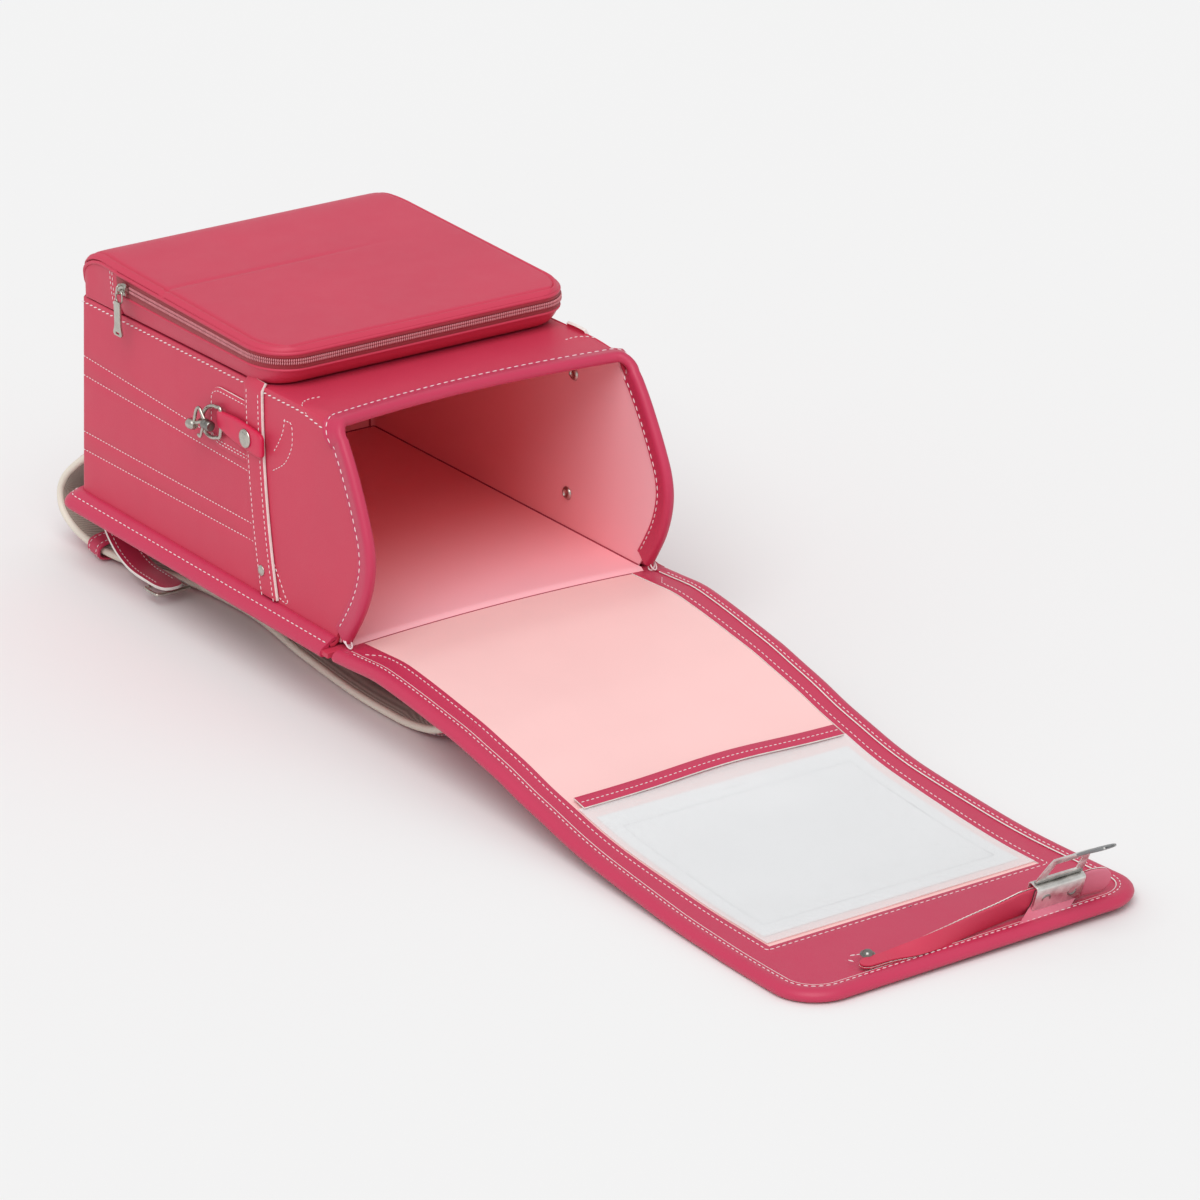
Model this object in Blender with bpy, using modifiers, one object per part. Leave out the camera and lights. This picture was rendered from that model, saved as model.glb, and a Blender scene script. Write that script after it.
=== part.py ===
"""A school ransel lying open on its back, with one object for each sub-part.

X runs across the bag, the mouth and the spread flap point to -Y, the bag's bottom to +Y.
Bag coordinates start at the flap's hinge, on the inner face of the back board.
The last step stands the bag on z = 0, with the origin under the middle of its box.
"""
import math

import bmesh
import bpy
from mathutils import Matrix, Vector

# Clearances
GAP = 0.0003
SOFT_GAP = 0.0005

# Leather and board
WALL = 0.0022
LINING = 0.0010
BOARD = 0.0030
FLAP_LEATHER = 0.0018
BORDER_LEATHER = 0.0016
STRAP_LEATHER = 0.0022
TRIM_LEATHER = 0.0012

# Body
BODY_LENGTH = 0.3152
HALF_WIDTH = 0.1130
SIDE_TAPER = 0.0050
DEPTH_MOUTH = 0.1402
DEPTH_BOTTOM = 0.1354
BODY_CORNER = 0.0060
FLANGE = 0.0115
FOOT_HEIGHT = 0.0060
FRONT_SINK = 0.0006

# Mouth rim: how far it bulges out, and its rolled binding
MOUTH_BULGE = 0.0270
FRONT_EDGE_CORNER = 0.0140
FRONT_EDGE_MIDDLE = 0.0240
RIM_THICKNESS = 0.0066
RIM_REACH = 0.0084
RIM_CORNER = 0.0070

# Back binding
BINDING_LEATHER = 0.0013
BINDING_THICKNESS = 0.0090
BINDING_REACH = 0.0137
BINDING_START = 0.0032

# Flap
FLAP_LENGTH = 0.4760
FLAP_OVERHANG = 0.0075
FLAP_HALF_WIDTH = HALF_WIDTH + FLAP_OVERHANG
FLAP_WAIST = 0.0040
FLAP_TIP_CORNER = 0.0260
FLAP_DROP = 0.0435
HINGE_DEPTH = 0.0030
PIPING_RADIUS = 0.0035
BORDER_AT_HINGE = 0.0215
BORDER_AT_TIP = 0.0248
WINDOW_HALF_HINGE = FLAP_HALF_WIDTH - BORDER_AT_HINGE
WINDOW_HALF_TIP = FLAP_HALF_WIDTH - BORDER_AT_TIP
WINDOW_END = 0.4090
TIP_LIFT = -0.0018

# Clear pocket, its header and its card
HEADER_START = 0.2150
HEADER_WIDTH = 0.0110
POCKET_FILM = 0.0004
FILM_END = 0.4060
CARD_THICKNESS = 0.0004
CARD_MARGIN = 0.0049
CARD_HALF_WIDTH = WINDOW_HALF_TIP - CARD_MARGIN
CARD_START = 0.2340
CARD_END = 0.3970

# Front pocket
POCKET_INSET = 0.0060
POCKET_HALF_WIDTH = HALF_WIDTH - POCKET_INSET
POCKET_FRONT = 0.0895
POCKET_CORNER = 0.0200
POCKET_HEIGHT = 0.0265
POCKET_RISE = 0.3700
POCKET_SIDE_BULGE = 0.4500
POCKET_LEATHER = 0.0016
ZIP_START = 0.2620
TAPE_THICKNESS = 0.0008
CHAIN_RADIUS = 0.0015

# Zip slider and pull
SLIDER_SIZE = (0.0036, 0.0090, 0.0080)
SLIDER_ARCH = 0.0030
SLIDER_WIRE = 0.0005
PULL_LENGTH = 0.0290
PULL_WIDTH = 0.0060
PULL_THICKNESS = 0.0014
PULL_WINDOW = 0.0065

# Side strap, patch and tab
SIDE_STRAP_WIDTH = 0.0196
NEAR_STRAP_FOOT_Y = 0.0820
NEAR_STRAP_TOP_Y = 0.1042
FAR_STRAP_FOOT_Y = 0.0920
FAR_STRAP_TOP_Y = 0.0725
PATCH_LENGTH = 0.0440
PATCH_HEIGHT = 0.0330
PATCH_CORNER = 0.0140
TAB_LENGTH = 0.0520
TAB_HALF_HEIGHT = 0.0098
TAB_THICKNESS = 0.0034
TAB_BEFORE = 0.0140
RIVET_AHEAD = 0.0064
TAB_HEIGHT_Z = 0.1035
TUNNEL_RADIUS = 0.0014
RIVET_RADIUS = 0.0060
SMALL_RIVET_RADIUS = 0.0035
EYELET_RADIUS = 0.0045

# Snap hook
RING_WIRE = 0.0010
RING_LENGTH = 0.0210
RING_HEIGHT = 0.0205
KNOB_RADIUS = 0.0036
BLOCK_RADIUS = 0.0034
HOOK_WIRE = 0.0007

# Closure strap, hasp and lock
CLOSURE_WIDTH = 0.0175
CLOSURE_LEATHER = 0.0026
CLOSURE_RIVET_AT = -0.5400
HASP_AT = 0.5150
HASP_WIDTH = 0.0350
HASP_HEIGHT = 0.0165
HASP_FOLD = 0.0086
HASP_METAL = 0.0010
TONGUE_LENGTH = 0.0540
TONGUE_METAL = 0.0012
HINGE_PIN = 0.0011
LOCK_SIZE = (0.0480, 0.0080, 0.0260)

# Back cushion, shoulder straps and what is on them
CUSHION_THICKNESS = 0.0120
CUSHION_INSET = 0.0180
CUSHION_HALF_WIDTH = HALF_WIDTH - CUSHION_INSET
CUSHION_START = 0.0800
CUSHION_END = 0.2920
FLOOR_DROP = 0.0505
SHOULDER_THICKNESS = 0.0090
SHOULDER_WIDTH = 0.0400
STRAP_LOOP = 0.0750
BELT_WIDTH = 0.0180
BELT_LEATHER = 0.0022
KEEPER_LEATHER = 0.0014
KEEPER_LENGTH = 0.0140
KEEPER_Y = 0.3200
MOUNT_SIZE = (0.0900, 0.0420, 0.0040)
BUCKLE_WIRE = 0.0012

# Rim in side view: share of the depth, share of the bulge, where +Y is into the bag
RIM_TABLE = (
    (0.00, 0.00), (0.10, -0.36), (0.20, -0.68), (0.31, -0.91), (0.41, -1.00),
    (0.51, -0.94), (0.61, -0.74), (0.72, -0.46), (0.83, -0.14), (0.92, 0.18), (1.00, 0.52),
)

# Flap in side view: share of the length, share of the drop, downwards from the hinge
FLAP_TABLE = (
    (0.000, 0.00), (0.045, -0.03), (0.095, -0.06), (0.140, -0.02), (0.185, 0.04), (0.230, 0.11),
    (0.273, 0.18), (0.317, 0.28), (0.365, 0.39), (0.414, 0.53), (0.462, 0.64), (0.510, 0.75),
    (0.557, 0.83), (0.604, 0.88), (0.665, 0.93), (0.745, 0.985), (0.822, 1.00), (0.897, 0.99),
    (1.000, 0.955),
)

# Shoulder strap from its mount, round the loop under the hinge and back to the bag's bottom:
# y as a share of the body's length, height as a share of the floor drop, middle x as a share
# of the half width, width as a share of the strap's
SHOULDER_TABLE = (
    (0.215, -0.2665, 0.27, 0.80), (0.060, -0.292, 0.36, 0.95), (-0.110, -0.290, 0.47, 1.00),
    (-0.195, -0.330, 0.52, 1.00), (-0.232, -0.460, 0.56, 1.00), (-0.222, -0.640, 0.58, 1.00),
    (-0.165, -0.820, 0.59, 1.00), (-0.060, -0.911, 0.60, 1.00), (0.100, -0.911, 0.60, 1.00),
    (0.330, -0.911, 0.54, 1.00), (0.550, -0.911, 0.46, 1.00), (0.760, -0.905, 0.50, 0.95),
    (0.900, -0.890, 0.62, 0.95), (1.000, -0.835, 0.70, 0.95), (1.080, -0.740, 0.73, 0.95),
    (1.135, -0.550, 0.74, 0.95), (1.150, -0.300, 0.74, 0.92), (1.130, -0.050, 0.74, 0.88),
    (1.090, 0.180, 0.74, 0.80), (1.050, 0.360, 0.74, 0.70),
)

# Lower belt, from the back board's bottom corner to its buckle: y as a share of the body's
# length, height as a share of the floor drop, middle x as a share of the half width
BELT_TABLE = (
    (0.933, -0.1145, 0.80), (0.948, -0.1145, 0.80), (0.968, -0.22, 0.82), (0.960, -0.38, 0.84),
    (0.930, -0.54, 0.85),
    (0.890, -0.66, 0.86), (0.840, -0.745, 0.865), (0.770, -0.765, 0.865), (0.715, -0.765, 0.865),
)

# Closure strap: x as a share of the flap's half width, the lower edge's place back from the
# tip as a share of the strap's width, its lift, and the turn of its face from flat
CLOSURE_TABLE = (
    (-0.620, 0.60, 0.03, 8), (-0.550, 0.56, 0.03, 8), (-0.480, 0.52, 0.03, 8),
    (-0.425, 0.48, 0.04, 17),
    (-0.350, 0.44, 0.06, 38), (-0.240, 0.46, 0.08, 62), (-0.120, 0.54, 0.09, 82),
    (0.020, 0.66, 0.09, 96),
    (0.160, 0.78, 0.07, 105), (0.300, 0.85, 0.07, 108), (0.475, 0.85, 0.07, 108),
    (0.650, 0.85, 0.07, 108), (0.750, 0.78, 0.07, 104), (0.840, 0.72, 0.06, 100),
)

COLOURS = {
    "pink_leather": ((0.58, 0.095, 0.145), 0.48, 0.0),
    "binding_leather": ((0.55, 0.065, 0.120), 0.42, 0.0),
    "pale_lining": ((0.96, 0.62, 0.59), 0.55, 0.0),
    "bright_plastic": ((0.70, 0.020, 0.110), 0.35, 0.0),
    "zip_textile": ((0.55, 0.080, 0.085), 0.70, 0.0),
    "clear_film": ((0.93, 0.93, 0.94), 0.15, 0.0),
    "card_paper": ((0.88, 0.89, 0.90), 0.80, 0.0),
    "nickel": ((0.42, 0.40, 0.36), 0.30, 1.0),
    "grey_leather": ((0.60, 0.56, 0.50), 0.60, 0.0),
}


def clear_scene():
    """Remove the scene's objects and make the bag's collection and its root."""
    for old in list(bpy.data.objects):
        bpy.data.objects.remove(old, do_unlink=True)
    parts = bpy.data.collections.new("school_ransel")
    tools = bpy.data.collections.new("ransel_cutters")
    for collection in (parts, tools):
        bpy.context.scene.collection.children.link(collection)
    root = bpy.data.objects.new("ransel_root", None)
    parts.objects.link(root)
    return parts, tools, root


PARTS, CUTTERS, ROOT = clear_scene()


def material(name):
    """The Principled material of a finish, made once."""
    found = bpy.data.materials.get(name)
    if found:
        return found
    colour, roughness, metallic = COLOURS[name]
    made = bpy.data.materials.new(name)
    made.use_nodes = True
    shader = made.node_tree.nodes["Principled BSDF"]
    shader.inputs["Base Color"].default_value = (*colour, 1.0)
    shader.inputs["Roughness"].default_value = roughness
    shader.inputs["Metallic"].default_value = metallic
    return made


def add_object(name, data, finish, origin=(0, 0, 0)):
    """Place an object whose data is in bag coordinates, with its origin at the given point."""
    obj = bpy.data.objects.new(name, data)
    PARTS.objects.link(obj)
    obj.parent = ROOT
    if origin != (0, 0, 0):
        data.transform(Matrix.Translation(-Vector(origin)))
        obj.location = origin
    data.materials.append(material(finish))
    return obj


def mesh_from(bm, name):
    mesh = bpy.data.meshes.new(name)
    bm.to_mesh(mesh)
    bm.free()
    return mesh


def sheet(name, rows, thickness, finish, offset=-1.0, flip=False, holes=()):
    """An open grid of points made solid with a Solidify modifier, like cut leather."""
    bm = bmesh.new()
    grid = [[bm.verts.new(point) for point in row] for row in rows]
    for i in range(len(grid) - 1):
        for j in range(len(grid[0]) - 1):
            if (i, j) in holes:
                continue
            face = [grid[i][j], grid[i][j + 1], grid[i + 1][j + 1], grid[i + 1][j]]
            bm.faces.new(face[::-1] if flip else face)
    loose = [vert for vert in bm.verts if not vert.link_faces]
    bmesh.ops.delete(bm, geom=loose, context="VERTS")
    obj = add_object(name, mesh_from(bm, name), finish)
    solid = obj.modifiers.new("thickness", "SOLIDIFY")
    solid.thickness = thickness
    solid.offset = offset
    solid.use_even_offset = True
    obj.data.shade_smooth()
    return obj


def loft(name, rings, finish, origin=(0, 0, 0)):
    """A closed solid through rings of equal point count, with flat ends."""
    bm = bmesh.new()
    made = [[bm.verts.new(point) for point in ring] for ring in rings]
    count = len(made[0])
    for first, second in zip(made, made[1:]):
        for k in range(count):
            after = (k + 1) % count
            bm.faces.new((first[k], first[after], second[after], second[k]))
    bm.faces.new(made[0][::-1])
    bm.faces.new(made[-1])
    bmesh.ops.recalc_face_normals(bm, faces=bm.faces)
    obj = add_object(name, mesh_from(bm, name), finish, origin)
    obj.data.shade_smooth()
    return obj


def rod(name, points, radius, finish, cyclic=False, sides=2, origin=(0, 0, 0)):
    """A round wire along points, as a curve with a bevel and filled ends."""
    curve = bpy.data.curves.new(name, "CURVE")
    curve.dimensions = "3D"
    curve.bevel_depth = radius
    curve.bevel_resolution = sides
    curve.use_fill_caps = not cyclic
    spline = curve.splines.new("POLY")
    spline.points.add(len(points) - 1)
    for target, point in zip(spline.points, points):
        target.co = (*point, 1.0)
    spline.use_cyclic_u = cyclic
    return add_object(name, curve, finish, origin)


def plate(name, outline, low_z, high_z, finish):
    """A flat piece between two heights, from a filled outline in XY."""
    curve = bpy.data.curves.new(name, "CURVE")
    curve.dimensions = "2D"
    curve.fill_mode = "BOTH"
    curve.extrude = (high_z - low_z) / 2
    spline = curve.splines.new("POLY")
    spline.points.add(len(outline) - 1)
    for target, (x, y) in zip(spline.points, outline):
        target.co = (x, y, 0.0, 1.0)
    spline.use_cyclic_u = True
    obj = add_object(name, curve, finish)
    obj.location = (0, 0, (low_z + high_z) / 2)
    return obj


def block(name, size, finish, place, bevel=0.0, origin=None):
    """A box with softened edges; place maps its local frame to bag coordinates."""
    bm = bmesh.new()
    bmesh.ops.create_cube(bm, size=1.0)
    bmesh.ops.scale(bm, vec=size, verts=bm.verts)
    if bevel:
        bmesh.ops.bevel(bm, geom=list(bm.edges), offset=bevel, segments=1, affect="EDGES")
    bm.transform(place)
    return add_object(name, mesh_from(bm, name), finish, origin or (0, 0, 0))


def turned(name, profile, finish, place, steps=14):
    """A turned piece: a profile of radius and height, spun round the local Z."""
    bm = bmesh.new()
    verts = [bm.verts.new((radius, 0.0, height)) for radius, height in profile]
    edges = [bm.edges.new(pair) for pair in zip(verts, verts[1:])]
    bmesh.ops.spin(bm, geom=verts + edges, cent=(0, 0, 0), axis=(0, 0, 1), angle=2 * math.pi,
                   steps=steps, use_merge=True)
    bmesh.ops.remove_doubles(bm, verts=bm.verts, dist=0.00001)
    bmesh.ops.recalc_face_normals(bm, faces=bm.faces)
    bm.transform(place)
    obj = add_object(name, mesh_from(bm, name), finish)
    obj.data.shade_smooth()
    return obj


def as_mesh(obj):
    """Turn an object into a plain welded mesh, so that it can be cut or joined."""
    bpy.context.view_layer.update()
    graph = bpy.context.evaluated_depsgraph_get()
    mesh = bpy.data.meshes.new_from_object(obj.evaluated_get(graph))
    bm = bmesh.new()
    bm.from_mesh(mesh)
    bmesh.ops.remove_doubles(bm, verts=bm.verts, dist=0.00002)
    bm.to_mesh(mesh)
    bm.free()
    name, location = obj.name, obj.location.copy()
    bpy.data.objects.remove(obj, do_unlink=True)
    made = bpy.data.objects.new(name, mesh)
    PARTS.objects.link(made)
    made.parent = ROOT
    made.location = location
    return made


def combine(target, others, operation="UNION"):
    """Join or cut a piece with others, which become guides of the Boolean modifiers."""
    target = as_mesh(target)
    for other in others:
        tool = as_mesh(other)
        PARTS.objects.unlink(tool)
        CUTTERS.objects.link(tool)
        tool.hide_render = True
        tool.display_type = "WIRE"
        step = target.modifiers.new(operation.lower(), "BOOLEAN")
        step.operation = operation
        step.object = tool
    return target


def read_table(table, position):
    """Linear reading of a table whose first column rises; gives the other columns."""
    for first, second in zip(table, table[1:]):
        if position <= second[0]:
            share = (position - first[0]) / (second[0] - first[0])
            share = max(0.0, share)
            return [a + share * (b - a) for a, b in zip(first[1:], second[1:])]
    return list(table[-1][1:])


def smoothed(rows, cuts):
    """Points of a smooth curve through rows of equal length (Catmull-Rom)."""
    out = []
    for i in range(len(rows) - 1):
        before = rows[max(i - 1, 0)]
        after = rows[min(i + 2, len(rows) - 1)]
        for step in range(cuts):
            t = step / cuts
            out.append([
                0.5 * (2 * b + (c - a) * t + (2 * a - 5 * b + 4 * c - d) * t * t
                       + (3 * b - a - 3 * c + d) * t ** 3)
                for a, b, c, d in zip(before, rows[i], rows[i + 1], after)
            ])
    return out + [list(rows[-1])]


def depth_at(y):
    """Outer height of the front panel above the back board's inner face."""
    return DEPTH_MOUTH - (DEPTH_MOUTH - DEPTH_BOTTOM) * y / BODY_LENGTH


def half_width(z):
    return HALF_WIDTH - SIDE_TAPER * z / DEPTH_MOUTH


def rim_y(z):
    """Where the mouth's edge is at a height, from the S-shaped rim table."""
    return read_table(RIM_TABLE, z / DEPTH_MOUTH)[0] * MOUTH_BULGE


def front_edge_y(x):
    """The front panel's edge at the mouth, bowed towards the pocket."""
    share = min(abs(x) / half_width(DEPTH_MOUTH), 1.0)
    return FRONT_EDGE_CORNER + (FRONT_EDGE_MIDDLE - FRONT_EDGE_CORNER) * (1 - share ** 2)


def rim_height():
    """Height of the binding's middle where it runs over the front panel's edge."""
    return depth_at(0) - FRONT_SINK - (WALL + GAP + LINING) / 2


def rim_corner_x():
    """Where the binding's top corner ends and its run over the front panel starts."""
    return half_width(DEPTH_MOUTH) - (WALL + GAP + LINING) / 2 - RIM_CORNER


def side_point(side, y, z, outward=0.0):
    """A point on a side panel, outward from its face; side is -1 near and +1 far."""
    return Vector((side * (half_width(z) + outward), y, z))


def side_frame(side, y, z, outward):
    """A frame on a side panel: local Z out of the panel, local X along the bag."""
    lean = math.atan2(SIDE_TAPER, DEPTH_MOUTH)
    out = Vector((side * math.cos(lean), 0, math.sin(lean)))
    along = Vector((0, 1, 0))
    across = out.cross(along)
    frame = Matrix((along, across, out)).transposed().to_4x4()
    frame.translation = side_point(side, y, z, outward)
    return frame


# Stations round the U of the walls: kind, side, and share or angle
WALL_STATIONS = (
    [("side", -1, share) for share in (0.0, 0.12, 0.45, 1.0)]
    + [("corner", -1, angle) for angle in (30, 60)]
    + [("bottom", 0, share) for share in (-1.0, -0.33, 0.33, 1.0)]
    + [("corner", 1, angle) for angle in (60, 30)]
    + [("side", 1, share) for share in (1.0, 0.45, 0.12, 0.0)]
)


def wall_point(station, z_mouth, z_bottom, inset):
    """A point of the U-shaped wall at one station, inset from its outer face."""
    kind, side, share = station
    edge = rim_y(z_mouth) + RIM_REACH + SOFT_GAP
    if kind == "side":
        y = edge + share * (BODY_LENGTH - BODY_CORNER - edge)
        z = z_mouth + (z_bottom - z_mouth) * y / BODY_LENGTH
        return Vector((side * (half_width(z) - inset), y, z))
    middle = half_width(z_bottom) - BODY_CORNER
    if kind == "bottom":
        return Vector((share * middle, BODY_LENGTH - inset, z_bottom))
    angle = math.radians(share)
    radius = BODY_CORNER - inset
    return Vector((side * (middle + radius * math.cos(angle)),
                   BODY_LENGTH - BODY_CORNER + radius * math.sin(angle), z_bottom))


def make_gusset():
    """Near side, bottom and far side, with the flange that the back binding holds."""
    foot = ((FLANGE, 0.0012), (0.0026, 0.0012), (0.0008, 0.0028))
    rows = []
    for station in WALL_STATIONS:
        row = [wall_point(station, z, z, -outward) for outward, z in foot]
        for share, _ in RIM_TABLE:
            low = FOOT_HEIGHT
            row.append(wall_point(station, low + share * (depth_at(0) - low),
                                  low + share * (depth_at(BODY_LENGTH) - low), 0.0))
        rows.append(row)
    sheet("side_gusset", rows, WALL, "pink_leather")


def make_gusset_lining():
    """The pale lining inside the gusset, ending under the front panel."""
    top_drop = FRONT_SINK + WALL + GAP
    rows = []
    for station in WALL_STATIONS:
        row = []
        for share in (0.0, 0.14, 0.27, 0.41, 0.55, 0.70, 0.85, 1.0):
            mouth = GAP + share * (depth_at(0) - top_drop - GAP)
            bottom = GAP + share * (depth_at(BODY_LENGTH) - top_drop - GAP)
            row.append(wall_point(station, mouth, bottom, WALL + GAP))
        rows.append(row)
    sheet("gusset_lining", rows, LINING, "pale_lining")


def front_rows(drop, side_gap):
    """Grid of the front panel at a drop under the outer surface, its back corners cut off."""
    half = half_width(DEPTH_MOUTH) - side_gap
    cut = BODY_CORNER - WALL
    columns = [rim_corner_x() * share for share in (1.0, 0.66, 0.33, 0.0)]
    columns = [half, half - cut] + columns
    columns = [-x for x in columns] + columns[-2::-1]
    rows = []
    for share in (0.0, 0.3, 1.0):
        row = []
        for x in columns:
            start = front_edge_y(x) + RIM_REACH + SOFT_GAP
            end = BODY_LENGTH - side_gap - (cut if abs(x) > half - 0.0001 else 0.0)
            y = start + share * (end - start)
            row.append((x, y, depth_at(y) - drop))
        rows.append(row)
    return rows


def make_front():
    """The front panel and its lining, between the gusset's walls."""
    inside = WALL + GAP
    sheet("front_panel", front_rows(FRONT_SINK, inside), WALL - GAP, "pink_leather")
    sheet("front_lining", front_rows(FRONT_SINK + WALL, inside + LINING + GAP), LINING, "pale_lining")


def rounded_back(half, end, radius, start):
    """An outline in XY with square corners at the hinge and round ones at the bottom."""
    points = [(-half, start), (half, start)]
    for angle in range(0, 91, 15):
        turn = math.radians(angle)
        points.append((half - radius + radius * math.cos(turn), end - radius + radius * math.sin(turn)))
    for angle in range(90, 181, 15):
        turn = math.radians(angle)
        points.append((-half + radius + radius * math.cos(turn), end - radius + radius * math.sin(turn)))
    return points


def make_back():
    """The stiff back panel under the body, and the lining on its inner face."""
    top = -LINING - GAP
    plate("back_panel",
          rounded_back(HALF_WIDTH + FLANGE, BODY_LENGTH + FLANGE, BODY_CORNER + FLANGE, HINGE_START),
          top - BOARD, top, "pink_leather")
    inside = WALL + 2 * GAP
    plate("back_lining",
          rounded_back(HALF_WIDTH - inside, BODY_LENGTH - inside, BODY_CORNER - inside, HINGE_START),
          -LINING, 0.0, "pale_lining")


HINGE_START = 0.0015


def make_mouth_binding():
    """The rolled edge round the mouth, from the hinge up, over the front and down again."""
    half_wall = (WALL + GAP + LINING) / 2
    top = rim_height()
    path = []
    for share in (0.024, 0.08, 0.15, 0.23, 0.31, 0.39, 0.47, 0.55, 0.64, 0.73, 0.82, 0.90):
        z = share * DEPTH_MOUTH
        path.append((half_width(z) - half_wall, z, 0.0, rim_y(z)))
    corner_x = rim_corner_x()
    corner_z = top - RIM_CORNER
    for angle in (0, 22, 45, 68, 90):
        turn = math.radians(angle)
        share = angle / 90
        y = rim_y(corner_z) * (1 - share) + front_edge_y(corner_x) * share
        path.append((corner_x + RIM_CORNER * math.cos(turn), corner_z + RIM_CORNER * math.sin(turn),
                     angle, y))
    for share in (0.66, 0.33, 0.0):
        path.append((corner_x * share, top, 90.0, front_edge_y(corner_x * share)))
    whole = ([(-x, z, 180 - angle, y) for x, z, angle, y in path]
             + [(x, z, angle, y) for x, z, angle, y in path[-2::-1]])
    rings = []
    for x, z, angle, y in whole:
        turn = math.radians(angle)
        out = Vector((math.cos(turn), 0, math.sin(turn)))
        centre = Vector((x, y + RIM_REACH / 2, z))
        ring = []
        for k in range(8):
            around = math.radians(22.5 + 45 * k)
            ring.append(centre + out * (math.cos(around) * RIM_THICKNESS / 2 * 1.06)
                        + Vector((0, math.sin(around) * RIM_REACH / 2 * 1.06, 0)))
        rings.append(ring)
    loft("mouth_binding", rings, "binding_leather")


def make_back_binding():
    """The folded strip over the flange's edge, along both sides and the bottom."""
    top = 0.0012 + BINDING_LEATHER + SOFT_GAP
    low = top - BINDING_THICKNESS
    round_off = 0.0015
    section = [(BINDING_START, top), (BINDING_REACH - round_off, top), (BINDING_REACH, top - round_off),
               (BINDING_REACH, low + round_off), (BINDING_REACH - round_off, low), (BINDING_START, low)]
    stations = ([("side", -1, share) for share in (0.0, 0.5, 1.0)]
                + [("corner", -1, angle) for angle in (18, 36, 54, 72)]
                + [("bottom", 0, share) for share in (-1.0, 0.0, 1.0)]
                + [("corner", 1, angle) for angle in (72, 54, 36, 18)]
                + [("side", 1, share) for share in (1.0, 0.5, 0.0)])
    rows = []
    for kind, side, share in stations:
        row = []
        for outward, z in section:
            if kind == "side":
                y = HINGE_START + share * (BODY_LENGTH - BODY_CORNER - HINGE_START)
                row.append((side * (HALF_WIDTH + outward), y, z))
            else:
                point = wall_point((kind, side, share), 0.0, 0.0, -outward)
                row.append((point.x, point.y, z))
        rows.append(row)
    sheet("back_binding", rows, BINDING_LEATHER, "binding_leather", flip=True)


def flap_height(y, x=0.0):
    """Height of the flap's middle layer; its near tip corner is lifted a little."""
    share = -y / FLAP_LENGTH
    drop = read_table(FLAP_TABLE, share)[0] * FLAP_DROP
    tipness = max(0.0, (share - 0.8) / 0.2)
    return -HINGE_DEPTH - drop - TIP_LIFT * tipness * x / FLAP_HALF_WIDTH


def flap_half(y, inset=0.0):
    """Half width of the flap inside its piping's middle line, with its waist and round corners."""
    share = -y / FLAP_LENGTH
    half = FLAP_HALF_WIDTH - FLAP_WAIST * math.sin(math.pi * min(share / 0.92, 1.0)) ** 2
    into = -y - (FLAP_LENGTH - FLAP_TIP_CORNER)
    if into <= 0:
        return half - inset
    radius = FLAP_TIP_CORNER - inset
    return half - FLAP_TIP_CORNER + math.sqrt(max(radius ** 2 - into ** 2, 0.0))


def window_half(y):
    share = -y / WINDOW_END
    return WINDOW_HALF_HINGE + (WINDOW_HALF_TIP - WINDOW_HALF_HINGE) * share


def flap_stations(start, end, inset=0.0):
    """Places along the flap between two ends, closer together at the tip's round corners."""
    places = [-share * FLAP_LENGTH for share, _ in FLAP_TABLE[1:-1]]
    corner = FLAP_LENGTH - FLAP_TIP_CORNER
    places = [y for y in places if y > -corner + 0.008]
    radius = FLAP_TIP_CORNER - inset
    places += [-(corner + radius * math.sin(math.radians(a))) for a in (0, 25, 47, 67)]
    margin = 0.003
    inside = [y for y in places if end + margin < y < start - margin]
    return [start] + inside + [end]


FLAP_TOP = FLAP_LEATHER / 2
LAYER_BASE = FLAP_TOP + GAP
EDGE_BACK = PIPING_RADIUS + SOFT_GAP


def make_flap():
    """The flap's outer leather, its pale lining and the border band with the tip band."""
    end = -(FLAP_LENGTH - EDGE_BACK)
    rows = []
    for y in flap_stations(HINGE_START - GAP, end, EDGE_BACK):
        half = flap_half(y, EDGE_BACK)
        rows.append([(s * half, y, flap_height(y, s * half) + FLAP_TOP) for s in (-1, -0.5, 0, 0.5, 1)])
    sheet("flap", rows, FLAP_LEATHER, "pink_leather", flip=True)

    lining_top = LAYER_BASE + LINING
    rows = []
    for y in flap_stations(HINGE_START - GAP, -WINDOW_END):
        half = window_half(y) - GAP
        rows.append([(s * half, y, flap_height(y, s * half) + lining_top) for s in (-1, -0.5, 0, 0.5, 1)])
    sheet("flap_lining", rows, LINING, "pale_lining", flip=True)

    border_top = LAYER_BASE + BORDER_LEATHER
    rows = []
    stations = flap_stations(HINGE_START - GAP, -WINDOW_END - GAP)
    tail = [y for y in flap_stations(HINGE_START - GAP, end, EDGE_BACK) if y < -WINDOW_END - 0.004]
    for y in stations + tail:
        half = flap_half(y, EDGE_BACK)
        inner = window_half(max(y, -WINDOW_END))
        columns = (-half, -min(inner, half * 0.93), min(inner, half * 0.93), half)
        rows.append([(x, y, flap_height(y, x) + border_top) for x in columns])
    holes = {(i, 1) for i in range(len(stations) - 1)}
    sheet("flap_border", rows, BORDER_LEATHER, "binding_leather", flip=True, holes=holes)


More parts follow.
